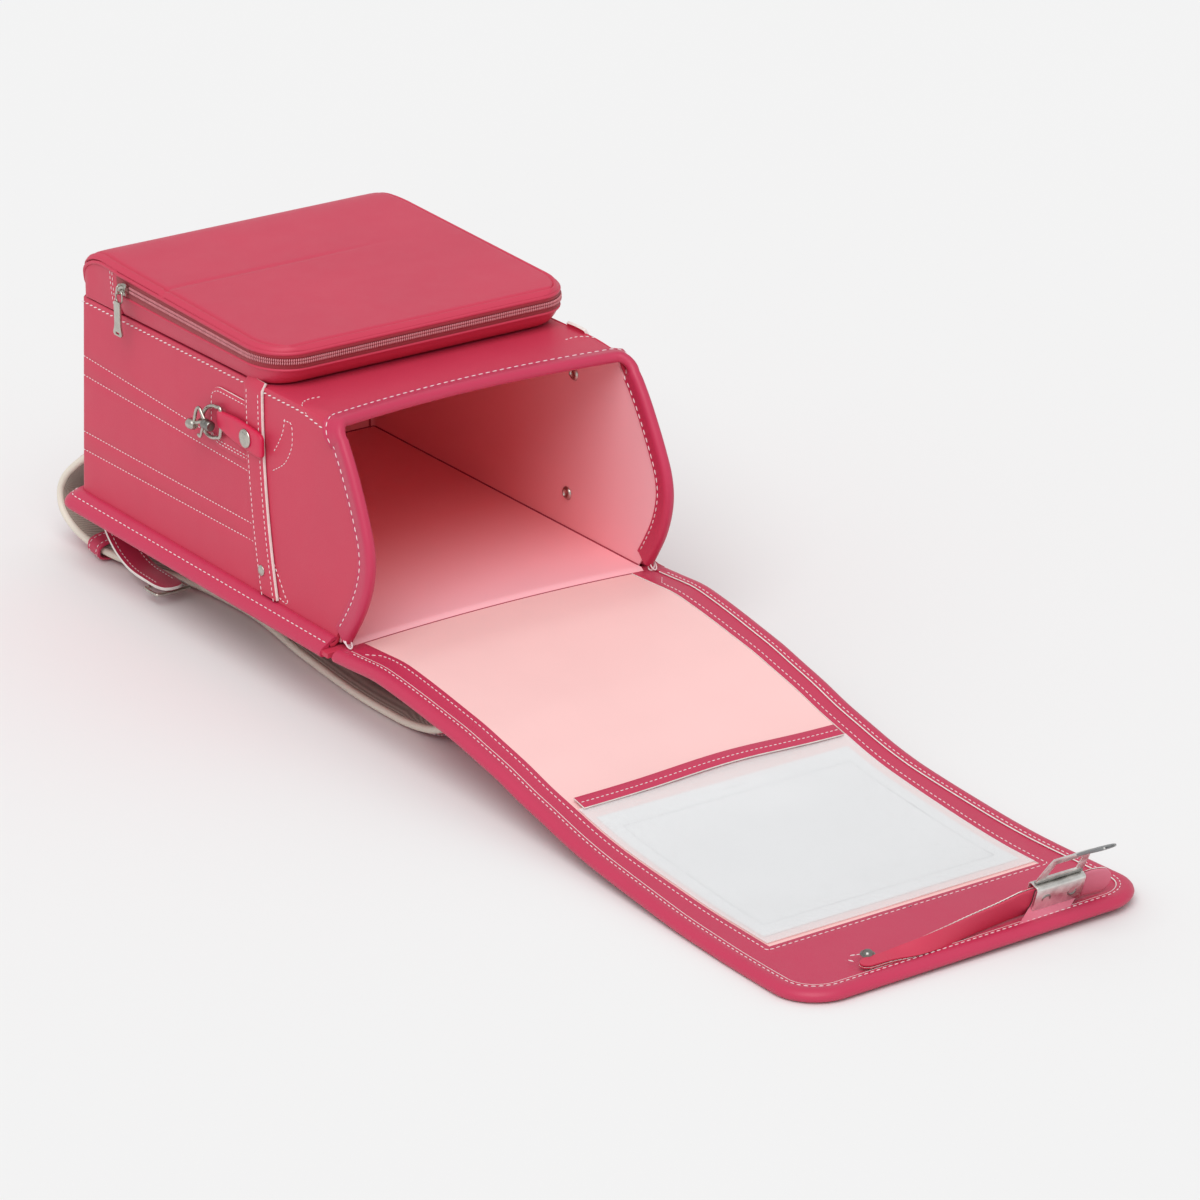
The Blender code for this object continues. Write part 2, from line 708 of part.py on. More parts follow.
def make_flap_piping():
    """The rolled edge of the flap, from the hinge round the tip and back."""
    near = []
    ys = [-0.001] + [y for y in flap_stations(0.0, -FLAP_LENGTH)[1:-1]
                     if y > -(FLAP_LENGTH - FLAP_TIP_CORNER - 0.004)]
    for y in ys:
        near.append((-flap_half(y), y))
    centre = FLAP_LENGTH - FLAP_TIP_CORNER
    inner = FLAP_HALF_WIDTH - FLAP_TIP_CORNER
    for angle in range(0, 91, 15):
        turn = math.radians(angle)
        near.append((-(inner + FLAP_TIP_CORNER * math.cos(turn)),
                     -(centre + FLAP_TIP_CORNER * math.sin(turn))))
    outline = near + [(0.0, -FLAP_LENGTH)] + [(-x, y) for x, y in near[::-1]]
    points = [(x, y, flap_height(y, x)) for x, y in outline]
    rod("flap_piping", points, PIPING_RADIUS, "binding_leather")


def flap_strip(name, start, end, half_width_of, low, thickness, finish, count=5):
    """A sheet laid on the flap between two places, at a height over its middle layer."""
    rows = []
    for y in flap_stations(-start, -end):
        half = half_width_of(y)
        shares = [-1 + 2 * k / (count - 1) for k in range(count)]
        rows.append([(s * half, y, flap_height(y, s * half) + low + thickness) for s in shares])
    return sheet(name, rows, thickness, finish, flip=True)


def make_flap_pocket():
    """The clear pocket on the lining, its leather header and the card inside."""
    lining_top = LAYER_BASE + LINING
    flap_strip("timetable_card", CARD_START, CARD_END, lambda y: CARD_HALF_WIDTH,
               lining_top + GAP, CARD_THICKNESS, "card_paper")
    flap_strip("clear_pocket", HEADER_START + HEADER_WIDTH + GAP, FILM_END,
               lambda y: window_half(y) - 2 * GAP, lining_top + 2 * GAP + CARD_THICKNESS,
               POCKET_FILM, "clear_film")
    flap_strip("pocket_header", HEADER_START, HEADER_START + HEADER_WIDTH,
               lambda y: window_half(y) - 2 * GAP, lining_top + GAP, TRIM_LEATHER, "binding_leather")


def wedge(y):
    """How the pocket's heights grow towards the bag's bottom."""
    return 1 + POCKET_RISE * (y - POCKET_FRONT) / (BODY_LENGTH - POCKET_FRONT)


def pocket_path(start_y):
    """Stations of the pocket's U: near side, round corner, mouth side and back."""
    near = [("side", -1, share) for share in (1.0, 0.6, 0.25, 0.0)]
    near += [("corner", -1, angle) for angle in (22, 45, 68)]
    far = [(kind, -side, share) for kind, side, share in near[::-1]]
    return start_y, near + [("front", 0, -1.0), ("front", 0, 0.0), ("front", 0, 1.0)] + far


def pocket_point(start_y, station, height, outward):
    """A point of the pocket's wall, bulged outward more at the mouth side than at the sides."""
    kind, side, share = station
    middle_x = POCKET_HALF_WIDTH - POCKET_CORNER
    middle_y = POCKET_FRONT + POCKET_CORNER
    side_out = POCKET_SIDE_BULGE * outward
    if kind == "side":
        x, y = side * (POCKET_HALF_WIDTH + side_out), middle_y + share * (start_y - middle_y)
    elif kind == "front":
        x, y = share * middle_x, POCKET_FRONT - outward
    else:
        turn = math.radians(share)
        x = side * (middle_x + (POCKET_CORNER + side_out) * math.cos(turn))
        y = middle_y - (POCKET_CORNER + outward) * math.sin(turn)
    return Vector((x, y, depth_at(y) + 0.0004 + height * wedge(max(y, POCKET_FRONT))))


def pocket_band(name, start_y, section, thickness, finish):
    """A band round the pocket through a section of heights and outward places."""
    start, stations = pocket_path(start_y)
    rows = [[pocket_point(start, station, h, o) for h, o in section] for station in stations]
    return sheet(name, rows, thickness, finish, flip=True)


CHAIN_HEIGHT = 0.0172
CHAIN_OUT = 0.0128
END_WALL_START = ZIP_START + 0.0008


def make_pocket():
    """The soft front pocket: lower gusset, closed zip, round ends and top."""
    pocket_band("pocket_gusset", ZIP_START, ((0.0, 0.0), (0.0045, 0.0052), (0.0112, 0.0104)),
                POCKET_LEATHER, "pink_leather")
    low_top = CHAIN_HEIGHT - CHAIN_RADIUS - GAP
    high_low = CHAIN_HEIGHT + CHAIN_RADIUS + GAP
    pocket_band("zip_tape_lower", ZIP_START, ((0.0118, 0.0107), (low_top, CHAIN_OUT - 0.0012)),
                TAPE_THICKNESS, "zip_textile")
    pocket_band("zip_tape_upper", ZIP_START, ((high_low, CHAIN_OUT - 0.0012), (0.0224, 0.0112)),
                TAPE_THICKNESS, "zip_textile")
    start, stations = pocket_path(SLIDER_Y - SLIDER_SIZE[1] / 2 - SOFT_GAP)
    points = [pocket_point(start, station, CHAIN_HEIGHT, CHAIN_OUT) for station in stations]
    rod("zip_chain", points, CHAIN_RADIUS, "zip_textile", sides=1)
    make_pocket_top()
    for side, word in ((-1, "left"), (1, "right")):
        make_pocket_end(side, "pocket_end_" + word)


SLIDER_Y = 0.2500

# Pocket's roll-over at the bag's bottom: share of its length, share of its height
POCKET_ROLL_TABLE = (
    (0.000, 1.00), (0.750, 1.00), (0.860, 0.995), (0.915, 0.93), (0.955, 0.80), (0.985, 0.58),
    (1.000, 0.30),
)
POCKET_EDGE = 0.0104
POCKET_EDGE_HEIGHT = 0.0232
POCKET_EDGE_ROLL = 0.0026
POCKET_END_Y = BODY_LENGTH - 0.0005


def pocket_top_half(y):
    """Half width of the pocket's top, round at the mouth side."""
    side_out = POCKET_SIDE_BULGE * POCKET_EDGE
    into = (POCKET_FRONT + POCKET_CORNER - y) / (POCKET_CORNER + POCKET_EDGE)
    if into <= 0:
        return POCKET_HALF_WIDTH + side_out
    round_off = math.sqrt(max(1 - into ** 2, 0.0))
    return POCKET_HALF_WIDTH - POCKET_CORNER + (POCKET_CORNER + side_out) * round_off


def pocket_top_point(x, y, fall=1.0):
    """A point of the pocket's top; it drops to its edge near the outline."""
    inside = min(pocket_top_half(y) - abs(x), y - (POCKET_FRONT - POCKET_EDGE))
    swell = 1 - math.exp(-max(inside, 0.0) / POCKET_EDGE_ROLL)
    height = POCKET_EDGE_HEIGHT + (POCKET_HEIGHT - POCKET_EDGE_HEIGHT) * swell
    share = (y - POCKET_FRONT + POCKET_EDGE) / (POCKET_END_Y - POCKET_FRONT + POCKET_EDGE)
    height *= read_table(POCKET_ROLL_TABLE, share)[0] * fall
    return (x, y, depth_at(y) + 0.0004 + height * wedge(max(y, POCKET_FRONT)))


def make_pocket_top():
    """The pocket's top panel, rolled over at the bag's bottom, with turned-down edges."""
    front = POCKET_FRONT - POCKET_EDGE
    corner = POCKET_CORNER + POCKET_EDGE
    places = [front + corner * share for share in (0.0, 0.02, 0.08, 0.22, 0.42, 0.70, 1.0)]
    for share, _ in POCKET_ROLL_TABLE[1:]:
        places.append(front + share * (POCKET_END_Y - front))
    rows = []
    for y in places:
        half = pocket_top_half(y)
        columns = [share * half for share in (-0.5, 0.0, 0.5)]
        edges = [half, half - 0.0016, half - 0.0055]
        rows.append([pocket_top_point(x, y) for x in [-e for e in edges] + columns + edges[::-1]])
    rows.append([(x, y, depth_at(y) + 0.0004) for x, y, _ in rows[-1]])
    sheet("pocket_top", rows, POCKET_LEATHER, "pink_leather")


def make_pocket_end(side, name):
    """The round-topped leather end beside the zip, down to the front panel."""
    rows = []
    end = POCKET_END_Y - POCKET_LEATHER - 2 * SOFT_GAP
    for share in (0.0, 0.3, 0.55, 0.75, 0.9, 1.0):
        y = END_WALL_START + share * (end - END_WALL_START)
        base = depth_at(y) + 0.0004
        ahead = min(y + POCKET_LEATHER + 0.0012, POCKET_END_Y)
        edge = pocket_top_point(pocket_top_half(ahead), ahead)[2]
        top = max(edge - POCKET_LEATHER - 0.0014, base + 0.002)
        row = []
        for part, bulge in ((0.0, 0.0), (0.4, 0.7), (0.75, 1.0), (1.0, 0.8)):
            row.append((side * (POCKET_HALF_WIDTH + 0.0030 * bulge), y, base + part * (top - base)))
        rows.append(row)
    sheet(name, rows, POCKET_LEATHER, "pink_leather", flip=side > 0)


def make_slider():
    """The zip's slider with its arch, and the pull that hangs from it."""
    station = ("side", -1, 1.0)
    centre = pocket_point(SLIDER_Y, station, CHAIN_HEIGHT, CHAIN_OUT)
    tape_out = POCKET_SIDE_BULGE * (CHAIN_OUT - 0.0012)
    face_x = -(POCKET_HALF_WIDTH + tape_out + GAP + SLIDER_SIZE[0] / 2)
    body = block("zip_slider", SLIDER_SIZE, "nickel",
                 Matrix.Translation((face_x, centre.y, centre.z)), bevel=0.0008)
    front = face_x - SLIDER_SIZE[0] / 2
    arch_half = 0.0026
    arch = rod("slider_arch",
               [(front + 0.0008, centre.y, centre.z + arch_half),
                (front - SLIDER_ARCH * 0.7, centre.y, centre.z + arch_half),
                (front - SLIDER_ARCH, centre.y, centre.z + arch_half * 0.5),
                (front - SLIDER_ARCH, centre.y, centre.z - arch_half * 0.5),
                (front - SLIDER_ARCH * 0.7, centre.y, centre.z - arch_half),
                (front + 0.0008, centre.y, centre.z - arch_half)], SLIDER_WIRE, "nickel", sides=1)
    combine(body, [arch])

    axis = Vector((front - 0.0014, centre.y, centre.z - arch_half + SLIDER_WIRE * 2 + GAP))
    frame = []
    half = PULL_WIDTH / 2 - 0.0007
    for y, z in ((half, 0.0), (half, -PULL_WINDOW), (-half, -PULL_WINDOW), (-half, 0.0)):
        frame.append((axis.x, axis.y + y, axis.z + z))
    loop = rod("zip_pull", frame, 0.00055, "nickel", cyclic=True, sides=1)
    sections = ((PULL_WINDOW - 0.0006, 0.92), (PULL_WINDOW + 0.001, 1.0), (PULL_LENGTH * 0.75, 0.95),
                (PULL_LENGTH * 0.86, 1.05), (PULL_LENGTH * 0.96, 1.35), (PULL_LENGTH, 1.15))
    rings = []
    for down, width in sections:
        wide, thick = PULL_WIDTH / 2 * width, PULL_THICKNESS / 2
        rings.append([(axis.x + i * thick, axis.y + j * wide, axis.z - down)
                      for i, j in ((-1, -1), (1, -1), (1, 1), (-1, 1))])
    tongue = loft("pull_plate", rings, "nickel")
    pull = combine(loop, [tongue])
    shift_origin(pull, axis)


def shift_origin(obj, point):
    """Move an object's origin to a point without moving its shape; the guides stay put."""
    offset = Vector(point) - obj.location
    obj.data.transform(Matrix.Translation(-offset))
    obj.location = Vector(point)


def strap_y(side, z):
    """Middle of a side strap at a height: it leans, and each side was sewn a little apart."""
    foot, top = NEAR_STRAP_FOOT_Y, NEAR_STRAP_TOP_Y
    if side > 0:
        foot, top = FAR_STRAP_FOOT_Y, FAR_STRAP_TOP_Y
    share = z / DEPTH_MOUTH
    return foot + (top - foot) * (1.84 * share - 0.84 * share ** 2)


def make_side_fittings(side, word):
    """Strap, patch, tab, rivets and snap hook of one side."""
    out = STRAP_LEATHER + 0.0004
    rows = []
    for share in (0.047, 0.25, 0.45, 0.65, 0.85, 0.97):
        z = share * DEPTH_MOUTH
        middle = strap_y(side, z)
        rows.append([side_point(side, middle + across * SIDE_STRAP_WIDTH / 2, z, out)
                     for across in (-1, 0, 1)])
    sheet("side_strap_" + word, rows, STRAP_LEATHER, "pink_leather", flip=side < 0)

    middle_z = TAB_HEIGHT_Z + 0.0010
    end = strap_y(side, middle_z) + SIDE_STRAP_WIDTH / 2 + PATCH_LENGTH
    rows = []
    for share in (0.0, 0.35, 0.67, 0.82, 0.92, 0.98):
        into = share * PATCH_LENGTH - (PATCH_LENGTH - PATCH_CORNER)
        half = PATCH_HEIGHT / 2
        if into > 0:
            half -= PATCH_CORNER - math.sqrt(PATCH_CORNER ** 2 - into ** 2)
        row = []
        for up in (-1, 0, 1):
            z = middle_z + up * half
            start = strap_y(side, z) + SIDE_STRAP_WIDTH / 2 + 0.0008
            row.append(side_point(side, start + share * (end - start), z, TRIM_LEATHER + 0.0004))
        rows.append(row)
    sheet("hook_patch_" + word, rows, TRIM_LEATHER, "pink_leather", flip=side > 0)

    centre_y = strap_y(side, TAB_HEIGHT_Z)
    make_tab_and_hook(side, word, centre_y)

    head = ((0.0, 0.0016), (RIVET_RADIUS * 0.6, 0.0014), (RIVET_RADIUS * 0.95, 0.0007), (RIVET_RADIUS, 0.0),
            (0.0, 0.0))
    face = out + GAP + TAB_THICKNESS + GAP
    turned("tab_rivet_" + word, head, "nickel", side_frame(side, centre_y + RIVET_AHEAD, TAB_HEIGHT_Z, face))
    small_z = 0.0215
    small = [(radius * SMALL_RIVET_RADIUS / RIVET_RADIUS, height * 0.8) for radius, height in head]
    turned("strap_rivet_" + word, small, "nickel",
           side_frame(side, strap_y(side, small_z) + 0.0030, small_z, out + GAP), steps=12)
    for level, z in (("upper", TAB_HEIGHT_Z + 0.0060), ("lower", small_z + 0.0035)):
        ring = ((0.0, 0.0006), (0.0018, 0.0005), (0.0024, 0.0013), (0.0036, 0.0012),
                (EYELET_RADIUS, 0.0), (0.0, 0.0))
        inner = -(WALL + GAP + LINING + GAP)
        frame = side_frame(side, strap_y(side, z) - 0.0010, z, inner) @ Matrix.Rotation(math.pi, 4, "X")
        turned("inner_eyelet_%s_%s" % (level, word), ring, "nickel", frame, steps=12)


def make_tab_and_hook(side, word, centre_y):
    """The moulded tab over the strap, with the ring through its end and the snap hook."""
    inner = STRAP_LEATHER + 0.0004 + GAP
    face = inner + TAB_THICKNESS
    tab_start = centre_y - TAB_BEFORE
    rows = []
    for share, height in ((0.0, 0.80), (0.04, 0.98), (0.45, 1.0), (0.70, 0.98), (0.90, 0.80), (1.0, 0.66)):
        y = tab_start + share * TAB_LENGTH
        half = TAB_HALF_HEIGHT * height
        rows.append([side_point(side, y, TAB_HEIGHT_Z + up * half, face) for up in (-1, 0, 1)])
    tab = sheet("hook_tab_" + word, rows, TAB_THICKNESS, "bright_plastic", flip=side > 0)
    bar_y = tab_start + TAB_LENGTH - 0.0030
    bar_out = inner + TAB_THICKNESS / 2
    up = Vector((0, 0, 1))
    bar_low = side_point(side, bar_y, TAB_HEIGHT_Z - RING_HEIGHT / 2, bar_out)
    bar_high = side_point(side, bar_y, TAB_HEIGHT_Z + RING_HEIGHT / 2, bar_out)
    tunnel = rod("tunnel_" + word, [bar_low - 0.004 * up, bar_high + 0.004 * up], TUNNEL_RADIUS,
                 "nickel", sides=2)
    combine(tab, [tunnel], "DIFFERENCE")

    def at(along, rise, outward):
        return side_point(side, bar_y + along, TAB_HEIGHT_Z + rise, bar_out + outward)

    axis = at(0.0, 0.0, 0.0)
    corners = ((0.0, -0.5), (0.0, 0.5), (0.22, 0.62), (0.50, 0.64), (0.80, 0.50), (1.0, 0.20),
               (1.0, -0.20), (0.80, -0.50), (0.50, -0.64), (0.22, -0.62))
    ring = [at(a * RING_LENGTH, b * RING_HEIGHT * 0.78 - 0.20 * a * RING_LENGTH, 0.0)
            for a, b in corners]
    ring_obj = rod("hook_ring_" + word, ring, RING_WIRE, "nickel", cyclic=True, sides=1)
    shift_curve(ring_obj, axis)

    forward = 0.0040
    block_start, block_end, knob_start, knob_end = 0.0050, 0.0130, 0.0230, 0.0315
    fall = -0.0080
    base = turned("hook_body_" + word,
                  ((0.0, block_end - block_start), (BLOCK_RADIUS * 0.85, block_end - block_start),
                   (BLOCK_RADIUS, block_end - block_start - 0.0006), (BLOCK_RADIUS, 0.0006),
                   (BLOCK_RADIUS * 0.85, 0.0), (0.0, 0.0)), "nickel",
                  along_hook(at(block_start, fall * 0.4, forward)), steps=10)
    knob = turned("knob_" + word,
                  ((0.0, knob_end - knob_start), (KNOB_RADIUS * 0.8, knob_end - knob_start),
                   (KNOB_RADIUS, knob_end - knob_start - 0.0012), (KNOB_RADIUS * 0.9, 0.0015),
                   (KNOB_RADIUS * 0.6, 0.0), (0.0, 0.0)), "nickel",
                  along_hook(at(knob_start, fall, forward)), steps=10)
    stem = rod("stem_" + word,
               [at(block_end - 0.0010, fall * 0.2, forward), at(knob_start + 0.0010, fall * 0.8, forward)],
               0.0012, "nickel", sides=1)
    upper = rod("upper_wire_" + word,
                [at(block_end - 0.0020, fall * 0.5 + 0.0020, forward), at(block_end + 0.0020, 0.0016, forward),
                 at(block_end + 0.0060, 0.0052, forward), at(knob_start - 0.0004, 0.0020, forward),
                 at(knob_start + 0.0020, fall + 0.0012, forward)], HOOK_WIRE, "nickel", sides=1)
    eye_shape = ((0.0, -0.00195), (0.0016, -0.0012), (0.0020, 0.0005), (0.0012, 0.0026), (0.0, 0.0033),
                 (-0.0012, 0.0026), (-0.0020, 0.0005), (-0.0016, -0.0012))
    eye = rod("eye_" + word, [at(RING_LENGTH + a, -0.20 * RING_LENGTH, o) for a, o in eye_shape], 0.0006,
              "nickel", cyclic=True, sides=1)
    body = combine(base, [stem, knob, upper, eye])
    shift_origin(body, axis)

    pivot = at(block_end + HOOK_WIRE + GAP, fall * 0.4 - 0.0024, forward)
    gate = rod("hook_gate_" + word,
               [pivot, at(block_end + 0.0036, fall - 0.0042, forward),
                at(knob_start - 0.0040, fall - 0.0050, forward), at(knob_start - 0.0014, fall - 0.0030, forward)],
               HOOK_WIRE, "nickel", sides=1)
    shift_curve(gate, pivot)


def along_hook(point):
    """A frame at a point whose local Z runs along the bag."""
    return Matrix.Translation(point) @ Matrix.Rotation(-math.pi / 2, 4, "X")


def shift_curve(obj, point):
    """Move a curve object's origin to a point without moving its shape."""
    obj.data.transform(Matrix.Translation(-Vector(point)))
    obj.location = Vector(point)


def closure_frame(x_share):
    """The strap's frame at a place: X across the bag, Y up its width, Z out of its face."""
    back, lift, turn = read_table(CLOSURE_TABLE, x_share)
    x = x_share * FLAP_HALF_WIDTH
    y = -FLAP_LENGTH + back * CLOSURE_WIDTH
    angle = math.radians(turn)
    along = Vector((0, math.cos(angle), math.sin(angle)))
    normal = Vector((0, -math.sin(angle), math.cos(angle)))
    base = flap_height(y, x) + LAYER_BASE + BORDER_LEATHER + SOFT_GAP + lift * CLOSURE_WIDTH
    frame = Matrix((Vector((1, 0, 0)), along, normal)).transposed().to_4x4()
    frame.translation = Vector((x, y, base)) + normal * (CLOSURE_LEATHER / 2 * math.cos(angle))
    return frame


def make_closure():
    """The strap across the tip band, its rivet, and the hasp that has slid along it."""
    rows = []
    for x_share, _, _, _ in smoothed(CLOSURE_TABLE, 2):
        width = CLOSURE_WIDTH * (0.86 if x_share > 0.80 else 1.0)
        frame = closure_frame(x_share)
        rows.append([frame @ Vector((0, width * part, 0)) for part in (0.0, 0.5, 1.0)])
    sheet("closure_strap", rows, CLOSURE_LEATHER, "pink_leather", offset=0.0)

    spot = closure_frame(CLOSURE_RIVET_AT)
    spot = spot @ Matrix.Translation((0, CLOSURE_WIDTH / 2, CLOSURE_LEATHER / 2 + SOFT_GAP))
    head = ((0.0, 0.0030), (0.0022, 0.0027), (0.0038, 0.0016), (0.0044, 0.0), (0.0, 0.0))
    turned("closure_rivet", head, "nickel", spot, steps=12)
    make_hasp()


def make_hasp():
    """The folded hasp plate over the strap, its leather tab and the hinged tongue."""
    frame = closure_frame(HASP_AT)
    half = HASP_WIDTH / 2
    strap_face = CLOSURE_LEATHER / 2 + 0.0008
    front_face = strap_face + TRIM_LEATHER + 0.0007 + HASP_METAL
    top = CLOSURE_WIDTH + 0.0008 + HASP_METAL
    profile = ((front_face, top - HASP_HEIGHT), (front_face, top - 0.0015), (front_face - 0.0012, top),
               (front_face - HASP_FOLD + 0.0012, top), (front_face - HASP_FOLD, top - 0.0015),
               (front_face - HASP_FOLD, top - 0.0100))
    rows = [[frame @ Vector((s * half, v, w)) for w, v in profile] for s in (-1, 1)]
    sheet("hasp_plate", rows, HASP_METAL, "nickel", flip=True)

    rows = []
    for v, left, right, forward in ((CLOSURE_WIDTH - 0.0008, -1.0, 1.0, 0.0), (0.0060, -1.06, 1.0, 0.0),
                                    (0.0028, -1.30, 0.98, 0.0002), (0.0016, -1.50, 0.92, 0.0012)):
        rows.append([frame @ Vector((s * half, v, strap_face + TRIM_LEATHER + forward))
                     for s in (left, (left + right) / 2, right)])
    sheet("hasp_tab", rows, TRIM_LEATHER, "grey_leather", flip=True)

    pin_v = top + HINGE_PIN + GAP
    pin = frame @ Vector((0, pin_v, front_face - HASP_FOLD / 2))
    make_tongue(pin, half)


def make_tongue(pin, half):
    """The tongue with two windows, on the pin along the hasp's top."""
    reach = Vector((0.0, -0.74, 0.67)).normalized()
    across = Vector((1, 0, 0))
    normal = across.cross(reach)
    frame = Matrix((across, reach, normal)).transposed().to_4x4()
    frame.translation = pin
    barrel = rod("hasp_tongue", [pin - across * half * 0.92, pin + across * half * 0.92], HINGE_PIN,
                 "nickel", sides=2)
    outline = ((0.0, 0.92), (0.30, 0.80), (0.48, 0.55), (0.60, 0.42), (0.92, 0.34), (1.0, 0.20))
    rows = []
    for share, width in outline:
        rows.append([frame @ Vector((s * half * width, share * TONGUE_LENGTH, TONGUE_METAL / 2))
                     for s in (-1, -0.62, 0.62, 1)])
    tongue = sheet("tongue_plate", rows, TONGUE_METAL, "nickel", offset=-1.0)
    windows = []
    for name, low, high, width in (("window_low", 0.08, 0.27, 0.60), ("window_high", 0.35, 0.49, 0.38)):
        rings = []
        for share, scale in ((low, 1.0), (high, 0.82)):
            w = half * width * scale
            rings.append([frame @ Vector((i * w, share * TONGUE_LENGTH, j * 0.004))
                          for i, j in ((-1, -1), (1, -1), (1, 1), (-1, 1))])
        windows.append(loft(name, rings, "nickel"))
    tongue = combine(tongue, windows, "DIFFERENCE")
    solid = combine(barrel, [tongue])
    shift_origin(solid, pin)


def make_back_fittings():
    """Cushion, hidden strap mount and bottom lock."""
    under = -LINING - GAP - BOARD - GAP
    rings = []
    length = CUSHION_END - CUSHION_START
    for share, swell in ((0.0, 0.25), (0.03, 0.75), (0.10, 1.0), (0.90, 1.0), (0.97, 0.75), (1.0, 0.25)):
        y = CUSHION_START + share * length
        half = CUSHION_HALF_WIDTH * (0.94 + 0.06 * swell)
        low = under - CUSHION_THICKNESS * swell
        rings.append([(-half, y, under), (-half, y, low + 0.003 * swell), (-half * 0.94, y, low),
                      (-0.012, y, low), (0.0, y, low + 0.004 * swell), (0.012, y, low),
                      (half * 0.94, y, low), (half, y, low + 0.003 * swell), (half, y, under)])
    loft("back_cushion", rings, "grey_leather")
    block("strap_mount", MOUNT_SIZE, "nickel",
          Matrix.Translation((0, 0.0500, under - MOUNT_SIZE[2] / 2)), bevel=0.001)
    block("bottom_lock", LOCK_SIZE, "nickel",
          Matrix.Translation((0, BODY_LENGTH + GAP + LOCK_SIZE[1] / 2, 0.0560)), bevel=0.0015)


def strap_band(name, rows, thickness, finish):
    """A padded band: each row gives its middle, its width and follows the path in side view."""
    rings = []
    for i, (x, y, z, width) in enumerate(rows):
        before = rows[max(i - 1, 0)]
        after = rows[min(i + 1, len(rows) - 1)]
        along = Vector((0, after[1] - before[1], after[2] - before[2])).normalized()
        normal = Vector((0, -along.z, along.y))
        middle = Vector((x, y, z))
        across = Vector((1, 0, 0))
        ring = []
        for side, lift in ((-1, -0.1), (-0.86, 0.72), (0, 1), (0.86, 0.72), (1, -0.1), (0.8, -1), (-0.8, -1)):
            ring.append(middle + across * (side * width / 2) + normal * (lift * thickness / 2))
        rings.append(ring)
    return loft(name, rings, finish)


def make_shoulder(side, word):
    """One padded shoulder strap with its lower belt, keeper and buckle, all lying under the bag."""
    lowest = SHOULDER_THICKNESS / 2 - FLOOR_DROP
    rows = []
    for y, z, x, width in smoothed(SHOULDER_TABLE, 2):
        rows.append((side * x * HALF_WIDTH, y * BODY_LENGTH, max(z * FLOOR_DROP, lowest),
                     width * SHOULDER_WIDTH))
    strap_band("shoulder_strap_" + word, rows, SHOULDER_THICKNESS, "grey_leather")

    edge = 0.865 * HALF_WIDTH
    belt = [(side * x * HALF_WIDTH, y * BODY_LENGTH, z * FLOOR_DROP) for y, z, x in BELT_TABLE]
    rows = []
    for x, y, z in smoothed(belt, 2):
        rows.append([(x - BELT_WIDTH / 2, y, z), (x, y, z), (x + BELT_WIDTH / 2, y, z)])
    sheet("lower_belt_" + word, rows, BELT_LEATHER, "binding_leather", offset=0.0)
    make_keeper(side, word)
    middle = Vector((side * edge, 0.745 * BODY_LENGTH,
                     BELT_TABLE[-1][1] * FLOOR_DROP - BELT_LEATHER / 2 - BUCKLE_WIRE - SOFT_GAP))
    half_x, half_y = BELT_WIDTH / 2 + 0.0030, 0.0075
    frame = [(middle.x + i * half_x, middle.y + j * half_y, middle.z)
             for i, j in ((-1, -0.7), (-1, 0.7), (-0.8, 1), (0.8, 1), (1, 0.7), (1, -0.7), (0.8, -1), (-0.8, -1))]
    rod("buckle_" + word, frame, BUCKLE_WIRE, "nickel", cyclic=True, sides=1)


def make_keeper(side, word):
    """The leather keeper round the strap near the bag's bottom."""
    path = [Vector((side * x * HALF_WIDTH, y * BODY_LENGTH, z * FLOOR_DROP))
            for y, z, x, _ in smoothed(SHOULDER_TABLE, 2)]
    nearest = min(range(len(path)), key=lambda i: (path[i] - Vector((path[i].x, KEEPER_Y, path[i].z))).length
                  + (1.0 if path[i].z > -0.7 * FLOOR_DROP else 0.0))
    middle = path[nearest]
    along = (path[nearest + 1] - path[nearest - 1]).normalized()
    normal = Vector((0, -along.z, along.y)).normalized()
    half = 0.95 * SHOULDER_WIDTH / 2 + 0.0022 + KEEPER_LEATHER
    rise = SHOULDER_THICKNESS / 2 + 0.0011 + KEEPER_LEATHER
    rows = []
    for part in (-0.5, 0.5):
        row = []
        for i, j in ((-1, 0), (-0.86, 0.85), (0, 1), (0.86, 0.85), (1, 0), (0.84, -1), (-0.84, -1), (-1, 0)):
            row.append(middle + along * (part * KEEPER_LENGTH) + Vector((i * half, 0, 0)) + normal * (j * rise))
        rows.append(row)
    keeper = sheet("belt_keeper_" + word, rows, KEEPER_LEATHER, "binding_leather")
    keeper.data = merged(keeper.data)


def merged(mesh):
    """Weld a mesh's coinciding points."""
    bm = bmesh.new()
    bm.from_mesh(mesh)
    bmesh.ops.remove_doubles(bm, verts=bm.verts, dist=0.00001)
    bm.to_mesh(mesh)
    bm.free()
    return mesh


def stand_on_floor():
    """Move the root so that the bag stands on z = 0 over the middle of its box."""
    bpy.context.view_layer.update()
    graph = bpy.context.evaluated_depsgraph_get()
    low = Vector((math.inf,) * 3)
    high = Vector((-math.inf,) * 3)
    for obj in PARTS.objects:
        if obj.type == "EMPTY":
            continue
        seen = obj.evaluated_get(graph)
        mesh = seen.to_mesh()
        for vert in mesh.vertices:
            point = obj.matrix_world @ vert.co
            low = Vector(map(min, low, point))
            high = Vector(map(max, high, point))
        seen.to_mesh_clear()
    ROOT.location = (-(low.x + high.x) / 2, -(low.y + high.y) / 2, -low.z)


def main():
    make_gusset()
    make_gusset_lining()
    make_front()
    make_back()
    make_mouth_binding()
    make_back_binding()
    make_flap()
    make_flap_piping()
    make_flap_pocket()
    make_pocket()
    make_slider()
    for side, word in ((-1, "left"), (1, "right")):
        make_side_fittings(side, word)
        make_shoulder(side, word)
    make_closure()
    make_back_fittings()
    stand_on_floor()


main()
